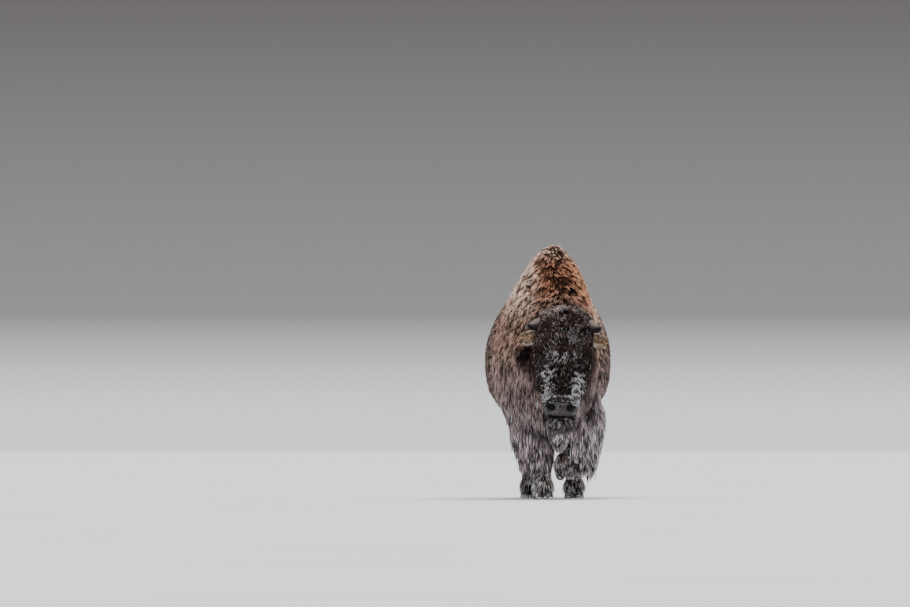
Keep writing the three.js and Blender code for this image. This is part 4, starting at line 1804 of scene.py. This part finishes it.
def by_body(part: Array, plain: Array, choices: tuple[Choice, ...]) -> Array:
    """Chooses a value by body.

    Args:
        part: The body at each place.
        plain: Values for the bodies that aren't named.
        choices: Groups of bodies, each with its values or the one value it has everywhere.

    Returns:
        One value for each place.
    """
    for bodies, value in choices:
        plain = np.where(among(part, *bodies), value, plain)
    return plain


@dataclass
class Lie:
    """Which way, how long and how wide the hair grows at each place.

    Each table gives places, along Y for the trunk, up for the legs, down the face for the head and
    out from the middle of an eye, and the length or width of a lock there, all in metres.
    """

    flesh: Flesh
    trunk_length: Table = ((-1.0, -0.45, -0.2, 0.0, 0.2, 1.3), (0.082, 0.080, 0.072, 0.056, 0.046, 0.040))
    face_length: Table = (
        (0.2, 0.3, 0.42, 0.55, 0.64, 0.70, 0.76),
        (0.060, 0.040, 0.030, 0.024, 0.018, 0.016, 0.044),
    )
    crown_length: Table = ((-0.05, 0.0, 0.10, 0.25), (0.034, 0.046, 0.078, 0.070))
    chaps_length: Table = ((0.24, 0.45, 0.8), (0.120, 0.145, 0.115))
    shank_length: Table = ((0.08, 0.12, 0.18, 0.5), (0.098, 0.086, 0.040, 0.028))
    round_eye: Table = ((0.03, 0.10), (0.006, 0.050))
    trunk_width: Table = ((-0.4, 0.1), (0.0080, 0.0082))
    face_width: Table = ((0.25, 0.45, 0.68), (0.0062, 0.0046, 0.0034))
    ear_depth: float = 0.012

    def flow(self, points: Array, normals: Array, part: Array) -> Array:
        """Finds the lie of the hair before it is laid flat on the skin.

        Args:
            points: N x 3 places.
            normals: N x 3 outward directions of the skin.
            part: The body at each place.

        Returns:
            N x 3 directions of any length.
        """
        x, y, z = points.T
        back = ease(-0.7, 0.15, y)
        top = ease(0.2, 0.9, normals[:, 2])
        flow = np.stack([np.tanh(x / 0.05) * 0.35 * top, 0.12 + 0.95 * back, -1.0 + 0.35 * back], axis=1)
        under = ease(-0.05, -0.5, normals[:, 2])[:, None]
        flow = flow * (1 - under) + np.array([0, 0.40, -1.0]) * under
        flow = self.head_flow(points, part, flow)
        for ear in EARS:
            flow[among(part, ear)] = self.flesh.lofts[ear][0].axes[2] + [0, 0, -0.25]
        hanging = among(part, Part.BEARD, *FORE_UPPERS, Part.LEG_LOCK, Part.TAIL, Part.TAIL_TUFT, *SHANKS)
        flow[hanging] = [0, 0.10, -1.0]
        thigh = among(part, *THIGHS)
        low = ease(1.15, 0.80, z)[:, None]
        flow[thigh] = (flow * (1 - low) + np.array([0, 0.45, -1.0]) * low)[thigh]
        return flow

    def head_flow(self, points: Array, part: Array, flow: Array) -> Array:
        """Lays the hair of the face outward and down, away from the eyes, and parts the crown.

        Args:
            points: N x 3 places.
            part: The body at each place.
            flow: N x 3 directions so far.

        Returns:
            N x 3 directions.
        """
        axes = head_axes()
        side, front, along = to_head(points).T
        face, crown = among(part, *FACE), among(part, Part.CROWN)
        away = np.sign(side) * ease(0.0, 0.06, np.abs(side))
        cheek = ease(0.10, 0.18, np.abs(side)) * ease(0.12, 0.02, front)
        rim = ease(0.58, 0.66, along) * ease(0.0, 0.05, front)
        across, down = away * (0.55 + 0.5 * rim) * (1 - cheek), 1.0 - 0.35 * cheek - 1.5 * rim
        flow[face] = (np.stack([across, -0.2 - 0.9 * cheek, down], axis=1) @ axes)[face]
        for hand in (1, -1):
            away = points - EyeSeat(hand).centre
            near = ease(0.075, 0.04, np.linalg.norm(away, axis=1))[:, None] * face[:, None]
            flow = flow * (1 - near) + (unit(away) + [0, 0, -0.25]) * near
        parted = np.stack([side * 6.0, np.where(front > 0, 0.5, -0.5), 0.35 + along * 3.5], axis=1)
        flow[crown] = (parted @ axes)[crown]
        return flow

    def length(self, points: Array, part: Array) -> Array:
        """Length of the locks.

        Args:
            points: N x 3 places.
            part: The body at each place.

        Returns:
            N lengths in metres.
        """
        x, y, z = points.T
        trunk = np.interp(y, *self.trunk_length)
        chest = ease(1.05, 0.85, z) * ease(-0.05, -0.3, y)
        trunk = trunk * (1 - chest) + (0.12 + 0.04 * ease(0.80, 0.62, z)) * chest
        fringe = ease(0.98, 0.78, z) * ease(-0.4, -0.1, y) * ease(0.9, 0.5, y)
        trunk = trunk + 0.030 * fringe
        trunk = trunk * (1 - 0.15 * ease(1.45, 1.7, z))
        chaps = np.interp(z, *self.chaps_length)
        chaps = chaps * (1 - 0.5 * ease(0.27, 0.20, x) * ease(0.44, 0.34, z) * (x > 0.05))
        shank = np.interp(z, *self.shank_length)
        choices = (
            (FACE, self.on_face(points)),
            ((Part.CROWN,), np.interp(to_head(points)[:, 2], *self.crown_length)),
            ((Part.BEARD,), 0.085),
            (EARS, 0.028),
            (FORE_UPPERS, chaps),
            ((Part.LEG_LOCK,), 0.10),
            (SHANKS, np.where(among(part, Part.FORE_LEFT_LOWER), 0.055, shank)),
            (THIGHS, 0.038),
            ((Part.TAIL,), 0.026),
            ((Part.TAIL_TUFT,), 0.12),
        )
        return by_body(part, trunk, choices)

    def on_face(self, points: Array) -> Array:
        """Length of the locks on the face: longer on cheek and jaw, shortest round the eyes.

        Args:
            points: N x 3 places.

        Returns:
            N lengths in metres.
        """
        side, front, along = to_head(points).T
        face = np.interp(along, *self.face_length)
        cheek = ease(0.12, 0.18, np.abs(side)) * ease(0.10, 0.0, front)
        jaw = ease(-0.06, -0.14, front)
        face = face * (1 + 0.9 * cheek * ease(0.62, 0.5, along)) + 0.035 * jaw
        for hand in (1, -1):
            face = np.minimum(face, np.interp(EyeSeat(hand).gap(points), *self.round_eye))
        return face

    def width(self, points: Array, part: Array) -> Array:
        """Width of the locks.

        Args:
            points: N x 3 places.
            part: The body at each place.

        Returns:
            N widths in metres.
        """
        choices = (
            (FACE, np.interp(to_head(points)[:, 2], *self.face_width)),
            (EARS, 0.0045),
            ((Part.CROWN,), 0.0082),
            (THIGHS, 0.0085),
            ((*SHANKS, Part.TAIL), 0.0066),
        )
        return by_body(part, np.interp(points[:, 1], *self.trunk_width), choices)

    def depth(self, points: Array, part: Array) -> Array:
        """Depth of the coat over the skin.

        Args:
            points: N x 3 places.
            part: The body at each place.

        Returns:
            N depths in metres.
        """
        depth = np.empty(len(points))
        for number, (loft, _) in enumerate(self.flesh.lofts.values()):
            inside = part == number
            if inside.any():
                depth[inside] = loft.section(loft.local(points[inside]))[4]
        over_claws = among(part, *SHANKS) * ease(0.17, 0.11, points[:, 2])
        depth = np.where(among(part, *EARS), self.ear_depth, depth)
        return depth * (1 + 3.4 * over_claws)


@dataclass
class Locks:
    """The locks of one piece: roots, paths and lightness, which is painted depth shade times random tone."""

    root: Array
    part: Array
    normal: Array
    across: Array
    width: Array
    path: Array
    shade: Array


@dataclass
class Coat:
    """Locks of hair on the skin, each a thin closed solid with three sides and two pointed ends."""

    flesh: Flesh
    skin: Skin
    markings: Markings
    lie: Lie
    seed: int = 7
    tip_stretch: float = 1.3
    floor_gap: float = 4 * MM
    patch: float = 0.003
    corners: Array = field(init=False)
    middle: Array = field(init=False)
    area: Array = field(init=False)
    part: Array = field(init=False)
    free: Array = field(init=False)
    rng: np.random.Generator = field(init=False)

    def read(self, thing: Object) -> None:
        """Takes the triangles of the skin, their areas and the body each belongs to.

        Args:
            thing: The skin.
        """
        mesh = thing.data
        mesh.calc_loop_triangles()
        spots = np.empty(len(mesh.vertices) * 3, np.float32)
        mesh.vertices.foreach_get("co", spots)
        index = np.empty(len(mesh.loop_triangles) * 3, np.int32)
        mesh.loop_triangles.foreach_get("vertices", index)
        self.corners = spots.reshape(-1, 3).astype(float)[index.reshape(-1, 3)]
        self.middle = self.corners.mean(1)
        a, b, c = self.corners.transpose(1, 0, 2)
        self.area = np.linalg.norm(np.cross(b - a, c - a), axis=1) / 2
        self.part = self.flesh.part_of(self.middle)
        self.free = self.may_grow(self.middle)
        self.rng = np.random.default_rng(self.seed)

    def may_grow(self, points: Array) -> Array:
        """Tells where hair may grow: not on the leather, on the lids or under the horns.

        Args:
            points: N x 3 places.

        Returns:
            True where it may.
        """
        free = self.skin.bare_share(points) < 0.25
        for hand in (1, -1):
            q = EyeSeat(hand).local(points)
            free &= (np.hypot(q[:, 0] / 1.4, q[:, 1]) > EYE_RADIUS * 0.85) | (q[:, 2] < 0)
            knots = from_head(on_side(np.array(Horn.path) * MM, hand))
            for start, end, radius in zip(knots, knots[1:], Horn.radii):
                line = end - start
                t = np.clip((points - start) @ line / line.dot(line), 0, 1)
                gap = np.linalg.norm(points - start - t[:, None] * line, axis=1)
                free &= gap > radius * MM * 0.95
        return free

    def roots(self, growth: Growth) -> Array:
        """Draws the roots by area, then thins them to one in each cell of a lattice.

        Args:
            growth: The piece.

        Returns:
            Their places, at most as many as the piece has locks.
        """
        pick = np.flatnonzero(growth.covers(self.middle, self.part) & self.free)
        area = self.area[pick]
        cell = 1.12 * math.sqrt(area.sum() / growth.count)
        draw = self.rng.choice(pick, size=growth.count * 4, p=area / area.sum())
        u, v = self.rng.random((2, len(draw)))
        over = u + v > 1
        u[over], v[over] = 1 - u[over], 1 - v[over]
        a, b, c = self.corners[draw].transpose(1, 0, 2)
        points = a + (b - a) * u[:, None] + (c - a) * v[:, None]
        _, first = np.unique(cell_numbers(points, cell), return_index=True)
        if len(first) > growth.count:
            first = self.rng.permutation(first)[: growth.count]
        return points[np.sort(first)]

    def grow(self, growth: Growth) -> Locks:
        """Draws the locks of one piece.

        A lock runs from its root along root + L (t d0 + t^2/2 (d1 - d0)), where d0 stands up from
        the skin and d1 lies along it and sags; tips in one cell are drawn together into a clump.

        Args:
            growth: The piece.

        Returns:
            Its locks.
        """
        rng = self.rng
        root = self.roots(growth)
        count = len(root)
        normal = self.skin.normals(root)
        part = self.flesh.part_of(root)
        flow = self.lie.flow(root, normal, part)
        tangent = unit(flow - normal * (flow * normal).sum(1, keepdims=True))
        across = np.cross(normal, tangent)
        turn = rng.normal(0, growth.scatter, count)[:, None]
        tangent = tangent * np.cos(turn) + across * np.sin(turn)
        across = np.cross(normal, tangent)
        length = self.lie.length(root, part) * rng.uniform(*growth.spread, count)
        width = self.lie.width(root, part) * rng.uniform(0.75, 1.3, count)
        shifted = root + rng.normal(0, growth.clump * 0.12, root.shape)
        _, group = np.unique(cell_numbers(shifted, growth.clump), return_inverse=True)
        members = np.bincount(group)
        layer = np.clip(0.85 * rng.random(len(members))[group] + 0.35 * rng.random(count) - 0.1, 0, 1)
        rise = np.clip(growth.lift * self.lie.depth(root, part) / length, 0.16, 0.85) * (0.45 + 0.95 * layer)
        rise = np.clip(rise, 0.1, 0.92)[:, None]
        start = tangent * np.sqrt(1 - rise**2) + normal * rise
        hang = growth.droop + 0.9 * ease(0.0, -0.6, normal[:, 2])[:, None]
        end = unit(tangent - normal * 0.1 * rise - UP * hang)
        t = self.stretch(growth.rings)[:, None, None]
        path = root - normal * 2 * MM + length[:, None] * (t * start + t * t / 2 * (end - start))
        if growth.curl:
            phase = rng.uniform(0, 2 * np.pi, count)[:, None] + t * rng.uniform(*growth.twist, count)[:, None]
            path = path + growth.curl * t * (across * np.sin(phase) + normal * np.cos(phase))
        meeting = np.stack([np.bincount(group, path[-1][:, k]) / members for k in range(3)], 1)[group]
        pull = growth.pull * rng.uniform(0.5, 1.2, count)[:, None]
        path = path + (meeting - path[-1]) * pull * t**2
        # Painted shade: locks lying lower in the coat are darker, top ones lighter; uneven is random tone by
        # clump and lock.
        shade = (0.03 + 3.0 * layer**2.2) ** growth.contrast
        uneven = np.exp(rng.normal(0, 0.38, len(members))[group] + rng.normal(0, 0.40, count))
        shade = np.minimum(shade * uneven ** growth.contrast, 3.4)
        return Locks(root, part, normal, across, width, path, shade)

    def stretch(self, rings: int) -> Array:
        """Places of the rings along a lock, from 0 at its root to 1 at its tip."""
        return np.linspace(0, 1, rings + 2) ** self.tip_stretch

    def build(self, growth: Growth) -> Object:
        """Grows one piece of the coat and wraps each path in a three-sided tapering solid.

        Args:
            growth: The piece.

        Returns:
            The piece with its colours and its map.
        """
        locks = self.grow(growth)
        rings, count, path = growth.rings, len(locks.root), locks.path
        ahead = unit(np.gradient(path, axis=0))[1:-1]
        side = unit(locks.across - ahead * (locks.across * ahead).sum(2, keepdims=True))
        over = np.cross(ahead, side)
        over = np.where((over * locks.normal).sum(2, keepdims=True) < 0, -over, over)
        t = self.stretch(rings)
        taper = (1.05 * np.sin(np.pi * t[1:-1] ** 0.8))[:, None, None] * locks.width[None, :, None]
        middle = path[1:-1]
        left = middle - side * taper * 0.5 - over * taper * 0.12
        right = middle + side * taper * 0.5 - over * taper * 0.12
        crest = middle + over * taper * 0.30
        solid = np.stack([left, right, crest], axis=2).transpose(1, 0, 2, 3).reshape(count, -1, 3)
        points = np.concatenate([path[0][:, None], solid, path[-1][:, None]], axis=1)
        points[..., 2] = np.maximum(points[..., 2], self.floor_gap)
        faces, corner_uv = lock_pattern(rings)
        index = faces[None] + (np.arange(count) * (rings * 3 + 2))[:, None, None]
        colour = self.colours(locks, np.concatenate([[0.0], np.repeat(t[1:-1], 3), [1.0]]))
        uv = self.map_places(locks)[:, None, None] + corner_uv[None] * self.patch
        return mesh_object(
            growth.name, points.reshape(-1, 3), index.reshape(-1, 3), colour.reshape(-1, 3), uv.reshape(-1, 2)
        )

    def colours(self, locks: Locks, along: Array) -> Array:
        """Colours the locks: dark at the root and light at the tip as painted shade and sheen, some of them
        frosted.

        Args:
            locks: The locks.
            along: How far along the lock each of its points lies, from 0 to 1.

        Returns:
            Linear colours, locks x points x 3.
        """
        # Painted shade at the root and painted sheen toward the tip.
        tone = 0.08 + 1.7 * along**1.4
        base = self.markings.coat(locks.root, locks.part) * locks.shade[:, None]
        colour = base[:, None] * tone[None, :, None]
        share, whitest, power = self.markings.frosting(locks.root, locks.part)
        frosty = self.rng.random(len(locks.root)) < share
        dusting = self.rng.uniform(0.3, 1.0, len(locks.root)) ** power * whitest
        white = ease(0.1, 0.7, along)[None] * np.where(frosty, dusting, 0.0)[:, None]
        return np.clip(mix(colour, linear(self.markings.frost), white), 0, 1)

    def map_places(self, locks: Locks) -> Array:
        """Places the roots on the unwrap of their bodies, which stand side by side.

        Args:
            locks: The locks.

        Returns:
            N x 2 places from 0 to 1.
        """
        place = np.zeros((len(locks.root), 2))
        present = np.unique(locks.part)
        lofts = list(self.flesh.lofts.values())
        for k, number in enumerate(present):
            inside = locks.part == number
            spot = lofts[number][0].unwrap(locks.root[inside])
            place[inside] = (spot * 0.985 + [k, 0]) / [len(present), 1]
        return place * 0.99 + 0.002


def lock_pattern(rings: int) -> tuple[Array, Array]:
    """Faces of one lock and where their corners lie on its patch of the map.

    Args:
        rings: Rings of three points between the root and the tip.

    Returns:
        Faces as indices within the lock, and the corners' places from 0 to 1.
    """
    faces, corners = [], []

    def at(ring: int, slot: int) -> tuple[int, Pair]:
        """Number and place of one point of a ring."""
        return 1 + ring * 3 + slot % 3, (slot / 3, (ring + 1) / (rings + 1))

    for slot in range(3):
        middle = (slot + 0.5) / 3
        strips = [(at(0, slot + 1), at(0, slot), (0, (middle, 0.0)))]
        for ring in range(rings - 1):
            a, b = at(ring, slot), at(ring, slot + 1)
            c, d = at(ring + 1, slot + 1), at(ring + 1, slot)
            strips += [(a, b, c), (a, c, d)]
        strips.append((at(rings - 1, slot), at(rings - 1, slot + 1), (rings * 3 + 1, (middle, 1.0))))
        for strip in strips:
            faces.append([corner[0] for corner in strip])
            corners.append([corner[1] for corner in strip])
    return np.array(faces), np.array(corners, float)


# ---- eyes, horns, hooves ----


@dataclass
class Eye:
    """An eyeball with a raised cornea, a dark iris and a level pupil."""

    seat: EyeSeat
    rings: int = 28
    segments: int = 40
    iris_share: float = 0.74
    rim_share: float = 0.82
    pupil_half: Pair = (8.2e-3, 5.0e-3)
    white: Shade = (38, 29, 26)
    iris: Shade = (40, 24, 15)
    pupil: Shade = (6, 5, 6)
    rim: Shade = (22, 15, 12)

    def build(self, name: str) -> Object:
        """Makes the ball: a sphere whose front bulges by a cosine over the cornea.

        Args:
            name: Name of the piece.

        Returns:
            The eyeball in its seat.
        """
        polar = np.linspace(0, np.pi, self.rings + 1)[1:-1]
        turn = np.linspace(0, 2 * np.pi, self.segments, endpoint=False)
        bulge = EYE_RADIUS * (0.985 + 0.07 * np.clip(np.cos(polar * 1.9), 0, 1) * (polar < 0.8))
        p, t = np.meshgrid(polar, turn, indexing="ij")
        r = np.broadcast_to(bulge[:, None], p.shape)
        local = np.stack([r * np.sin(p) * np.cos(t), r * np.sin(p) * np.sin(t), r * np.cos(p)], -1)
        local = local.reshape(-1, 3)
        local = np.vstack([local, [0, 0, EYE_RADIUS * 1.055], [0, 0, -EYE_RADIUS * 0.985]])
        faces = ring_faces(self.rings - 1, self.segments)
        out = np.hypot(local[:, 0], local[:, 1]) / EYE_RADIUS
        front = local[:, 2] > 0
        pupil = np.hypot(local[:, 0] / self.pupil_half[0], local[:, 1] / self.pupil_half[1]) < 1
        colour = np.tile(linear(self.white), (len(local), 1))
        colour[front & (out < self.iris_share)] = linear(self.iris)
        colour[front & pupil] = linear(self.pupil)
        colour[front & (out >= self.iris_share) & (out < self.rim_share)] = linear(self.rim)
        return mesh_object(name, local @ self.seat.axes + self.seat.centre, faces, colour)


@dataclass
class Horn:
    """A short horn that leaves the crown sideways and turns forward, with rings round its base."""

    hand: int
    path: tuple[Triple, ...] = ((132, 46, 78), (194, 56, 96), (240, 98, 120), (256, 166, 126))
    radii: tuple[float, ...] = (49, 42, 25, 5)
    rings: int = 60
    segments: int = 36
    ridge_height: float = 0.034
    ridge_turns: float = 60
    dark: Shade = (15, 12, 12)
    wear_and_top_sheen: Shade = (116, 99, 87)

    def build(self, name: str) -> Object:
        """Sweeps a circle along a smooth path; small steps of the radius are the growth rings.

        Args:
            name: Name of the piece.

        Returns:
            The horn on the head.
        """
        knots = on_side(np.array(self.path) * MM, self.hand)
        rows = np.column_stack([np.arange(4.0), knots, np.array(self.radii) * MM])
        rows = smooth_rows(rows, self.rings)
        centre, radius = rows[:, 1:4], rows[:, 4]
        t = rows[:, 0] / 3
        ridge = np.sin(t * self.ridge_turns) * ease(0.8, 0.25, t)
        radius = radius * (1 + self.ridge_height * ridge)
        ahead = unit(np.gradient(centre, axis=0))
        side = unit(np.cross(ahead, [0.0, 0, 1.0]))
        over = np.cross(side, ahead)
        turn = np.linspace(0, 2 * np.pi, self.segments, endpoint=False)
        ring = side[:, None] * np.cos(turn)[None, :, None] + over[:, None] * np.sin(turn)[None, :, None]
        points = (centre[:, None] + ring * radius[:, None, None]).reshape(-1, 3)
        points = np.vstack([points, centre[0], centre[-1] + ahead[-1] * 5 * MM])
        # Painted sheen: the side facing up is lighter; the lighter base and rings are the horn's own wear.
        upper = ease(0.42, 1.02, 0.5 - 0.6 * ring[..., 2] + 0.12 * ring[..., 1])
        wear_and_top_sheen = (0.06 + 0.80 * upper) * (1 - 0.80 * t[:, None]) * (1 + 0.45 * ridge[:, None])
        wear_and_top_sheen = np.concatenate([wear_and_top_sheen.ravel(), [0.3, 0.1]])
        streaks = value_noise(points * np.array([1.0, 1.0, 1.6]), 0.009, Pattern.HORN_STREAK)
        colour = mix(linear(self.dark), linear(self.wear_and_top_sheen), np.clip(wear_and_top_sheen * (0.55 + 0.9 * streaks), 0, 1))
        faces = ring_faces(self.rings, self.segments)
        if self.hand > 0:
            faces = faces[:, ::-1]
        return outward(mesh_object(name, from_head(points), faces, colour))


@dataclass
class Foot:
    """One cloven foot: two claws on a flat sole and two small dewclaws behind."""

    leg: str
    side: float
    forward: float
    width: float
    pitch: float = 0.0
    lift: float = 0.0
    ring_step: float = 7.5 * MM
    black: Shade = (30, 26, 27)
    grey: Shade = (78, 72, 71)
    rime: Shade = (226, 225, 230)

    def axes(self) -> tuple[Array, Array]:
        """Axes and place of the foot in the frame."""
        turn = turn_x(math.radians(self.pitch))
        return (turn @ limb_axes().T).T, np.array([self.side, -self.forward, self.lift]) * MM

    def claw(self, name: str, hand: int) -> Object:
        """Makes one claw: the half of the foot on one side of the cleft.

        Args:
            name: Name of the piece.
            hand: The side of the cleft, 1 or -1.

        Returns:
            The claw.
        """
        rows = [(a, (s * self.width + 2) * hand, lv, h * self.width, *rest) for a, s, lv, h, *rest in CLAW]
        axes, place = self.axes()
        loft = Loft(tuple(rows), axes, place, 0.014, 0.0)
        points, faces = loft.surface(56, 44)
        return self.close(name, *self.wear(loft, points), faces)

    def wear(self, loft: Loft, points: Array) -> tuple[Array, Array]:
        """Presses growth rings and a flared edge into a claw and paints it.

        The offset from the middle line is scaled by 1 + 0.013 sin(2 pi a / step) for the rings, less
        0.04 in the hollow above the edge and plus 0.05 at the edge, a being the place down the wall.

        Args:
            loft: The plain claw.
            points: N x 3 places on it.

        Returns:
            The places of the worn claw, and their linear colours.
        """
        local = loft.local(points)
        across, over, _, _, _ = loft.section(local)
        down = local[:, 2]
        wave = np.sin(2 * np.pi * (down + 0.10 * over) / self.ring_step)
        wall = ease(-0.001, -0.006, down)
        grow = 0.013 * wave * wall - 0.040 * np.exp(-(((down + 0.036) / 0.016) ** 2))
        grow = grow + 0.050 * ease(-0.022, -0.003, down) * wall
        shift = np.stack([across, over, np.zeros(len(down))], 1) * grow[:, None]
        noise = value_noise(points, 0.009, Pattern.HOOF_TONE)
        tone = np.clip(0.35 + 0.30 * wave + 0.6 * (noise - 0.5), 0, 1)
        colour = mix(linear(self.black), linear(self.grey), tone)
        edge = value_noise(points, 0.014, Pattern.RIME_EDGE)
        spots = value_noise(points, 0.010, Pattern.RIME_SPOT)
        rime = ease(-0.032, -0.004, down) * ease(0.38, 0.62, edge)
        rime = np.maximum(rime, 0.8 * ease(0.58, 0.80, spots))
        return points + shift @ loft.axes, mix(colour, linear(self.rime), rime * 0.8)

    def dewclaw(self, name: str, hand: int) -> Object:
        """Makes one dewclaw behind the fetlock.

        Args:
            name: Name of the piece.
            hand: The side of the foot, 1 or -1.

        Returns:
            The dewclaw.
        """
        rows = [(a - 96, s + 30 * hand, lv - 78, *rest) for a, s, lv, *rest in DEWCLAW]
        axes, place = self.axes()
        points, faces = Loft(tuple(rows), axes, place, 0.008, 0.008).surface(10, 24)
        return self.close(name, points, np.tile(linear(self.black), (len(points), 1)), faces)

    def close(
        self, name: str, points: Array, colours: Array, faces: list[tuple[int, ...]]
    ) -> Object:
        """Turns quads and triangles into one closed piece.

        Args:
            name: Name of the piece.
            points: N x 3 places.
            colours: N x 3 linear colours.
            faces: Indices of three or four points each.

        Returns:
            The piece.
        """
        flat = [f for f in faces if len(f) == 3]
        flat += [half for f in faces if len(f) == 4 for half in (f[:3], (f[0], f[2], f[3]))]
        return outward(mesh_object(name, points, np.array(flat), colours))


FEET = (
    Foot("fore_right", -36, 498, 1.0),
    Foot("fore_left", 125, 446, 0.94, 50, 190),
    Foot("hind_right", -128, -1104, 0.94),
    Foot("hind_left", 188, -574, 0.94),
)


# ---- the stage ----


@dataclass(frozen=True)
class Sun:
    """Light from one far direction, softened over a wide angle in degrees."""

    name: str
    place: Triple
    strength: float
    spread: float
    colour: Triple

    def build(self) -> None:
        """Adds the light."""
        light = bpy.data.lights.new(self.name, "SUN")
        light.energy, light.color, light.angle = self.strength, self.colour, math.radians(self.spread)
        thing = stand(bpy.data.objects.new(self.name, light))
        thing.rotation_euler = (-Vector(self.place)).to_track_quat("-Z", "Y").to_euler()


@dataclass
class Studio:
    """Ground, backdrop, light and camera."""

    lens: float = 300.0
    sensor: float = 36.0
    clip_end: float = 400.0
    distance: float = 53.8
    height: float = 0.41
    tilt: float = 1.04
    pan: float = 0.701
    sky: Shade = (200, 203, 208)
    sky_strength: float = 0.62
    suns: tuple[Sun, ...] = (
        Sun("overcast", (8.0, 4.0, 30.0), 2.6, 40.0, (1.0, 0.98, 0.96)),
        Sun("brighter_cloud", (-3.5, -16.0, 19.0), 2.3, 20.0, (1.0, 0.97, 0.94)),
    )

    def build(self) -> None:
        """Makes the ground and the backdrop, lights them and sets the camera."""
        floor_corners = [(-90, -60, 0), (90, -60, 0), (90, 300, 0), (-90, 300, 0)]
        ground = self.sheet("ground", floor_corners, GroundFinish())
        wall_corners = [(-160, 260, 0), (160, 260, 0), (160, 260, 90), (-160, 260, 90)]
        wall = self.sheet("backdrop", wall_corners, BackdropFinish())
        world = bpy.data.worlds.new("sky")
        world.use_nodes = True
        back = world.node_tree.nodes["Background"]
        back.inputs["Color"].default_value = (*linear(self.sky), 1)
        back.inputs["Strength"].default_value = self.sky_strength
        bpy.context.scene.world = world
        for sun in self.suns:
            sun.build()
        self.camera()

    def sheet(
        self, name: str, corners: list[Triple], finish: GroundFinish | BackdropFinish
    ) -> Object:
        """Makes one flat sheet of the stage.

        Args:
            name: Name of the sheet and its material.
            corners: Its four corners in metres.
            finish: Its finish.

        Returns:
            The sheet.
        """
        thing = mesh_object(name, np.array(corners, float), np.array([[0, 1, 2, 3]]))
        thing.data.materials.append(finish.make(name))
        return thing

    def camera(self) -> None:
        """Sets a long lens low over the ground, level with the knees."""
        lens = bpy.data.cameras.new("camera")
        lens.lens, lens.sensor_width = self.lens, self.sensor
        lens.clip_end = self.clip_end
        thing = stand(bpy.data.objects.new("camera", lens))
        thing.location = (0.0, -self.distance, self.height)
        thing.rotation_euler = (math.radians(90 + self.tilt), 0, math.radians(self.pan))
        bpy.context.scene.camera = thing


FLESH_NODES = (
    *("neck", "shoulders", "barrel", "rump", "head", "crown", "nose_pad", "beard", "ear_left", "ear_right"),
    *(f"{foot.leg}_{half}" for foot in FEET for half in ("upper", "lower")),
    *("fore_left_lock", "tail", "tail_tuft"),
)


def main() -> None:
    """Builds the pieces in order."""
    logging.basicConfig(level=logging.INFO, format="%(name)s %(message)s")
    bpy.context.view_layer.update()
    Studio().build()
    LOG.info("stage set")
    flesh = Flesh()
    markings = Markings(flesh)
    skin = Skin(flesh, markings)
    hide = put(skin.build(), SkinFinish().make("skin"), "body_hair", *FLESH_NODES)
    LOG.info("skin %d faces", len(hide.data.polygons))
    coat, hair = Coat(flesh, skin, markings, Lie(flesh)), HairFinish()
    coat.read(hide)
    hairs = {slot: hair.make(slot) for slot in sorted({g.slot for g in GROWTHS})}
    total = 0
    for growth in GROWTHS:
        piece = put(coat.build(growth), hairs[growth.slot], growth.slot)
        total += len(piece.data.polygons)
        LOG.info("%s %d triangles, %d so far", growth.name, len(piece.data.polygons), total)
    eye, horn, hoof = EyeFinish().make("eye"), HornFinish().make("horn"), HoofFinish().make("hoof")
    for hand, side in ((1, "left"), (-1, "right")):
        put(Eye(EyeSeat(hand)).build(f"eyeball_{side}"), eye, "eye", f"eye_{side}")
        put(Horn(hand).build(f"horn_sheath_{side}"), horn, "horn", f"horn_{side}")
    for foot in FEET:
        outer = 1 if foot.leg.endswith("left") else -1
        for hand, word in ((outer, "outer"), (-outer, "inner")):
            put(foot.claw(f"{foot.leg}_hoof_{word}", hand), hoof, "hoof", f"{foot.leg}_claw_{word}")
            put(foot.dewclaw(f"{foot.leg}_spur_{word}", hand), hoof, "hoof", f"{foot.leg}_dewclaw_{word}")
    LOG.info("eyes, horns and feet")


if __name__ == "__main__":
    main()
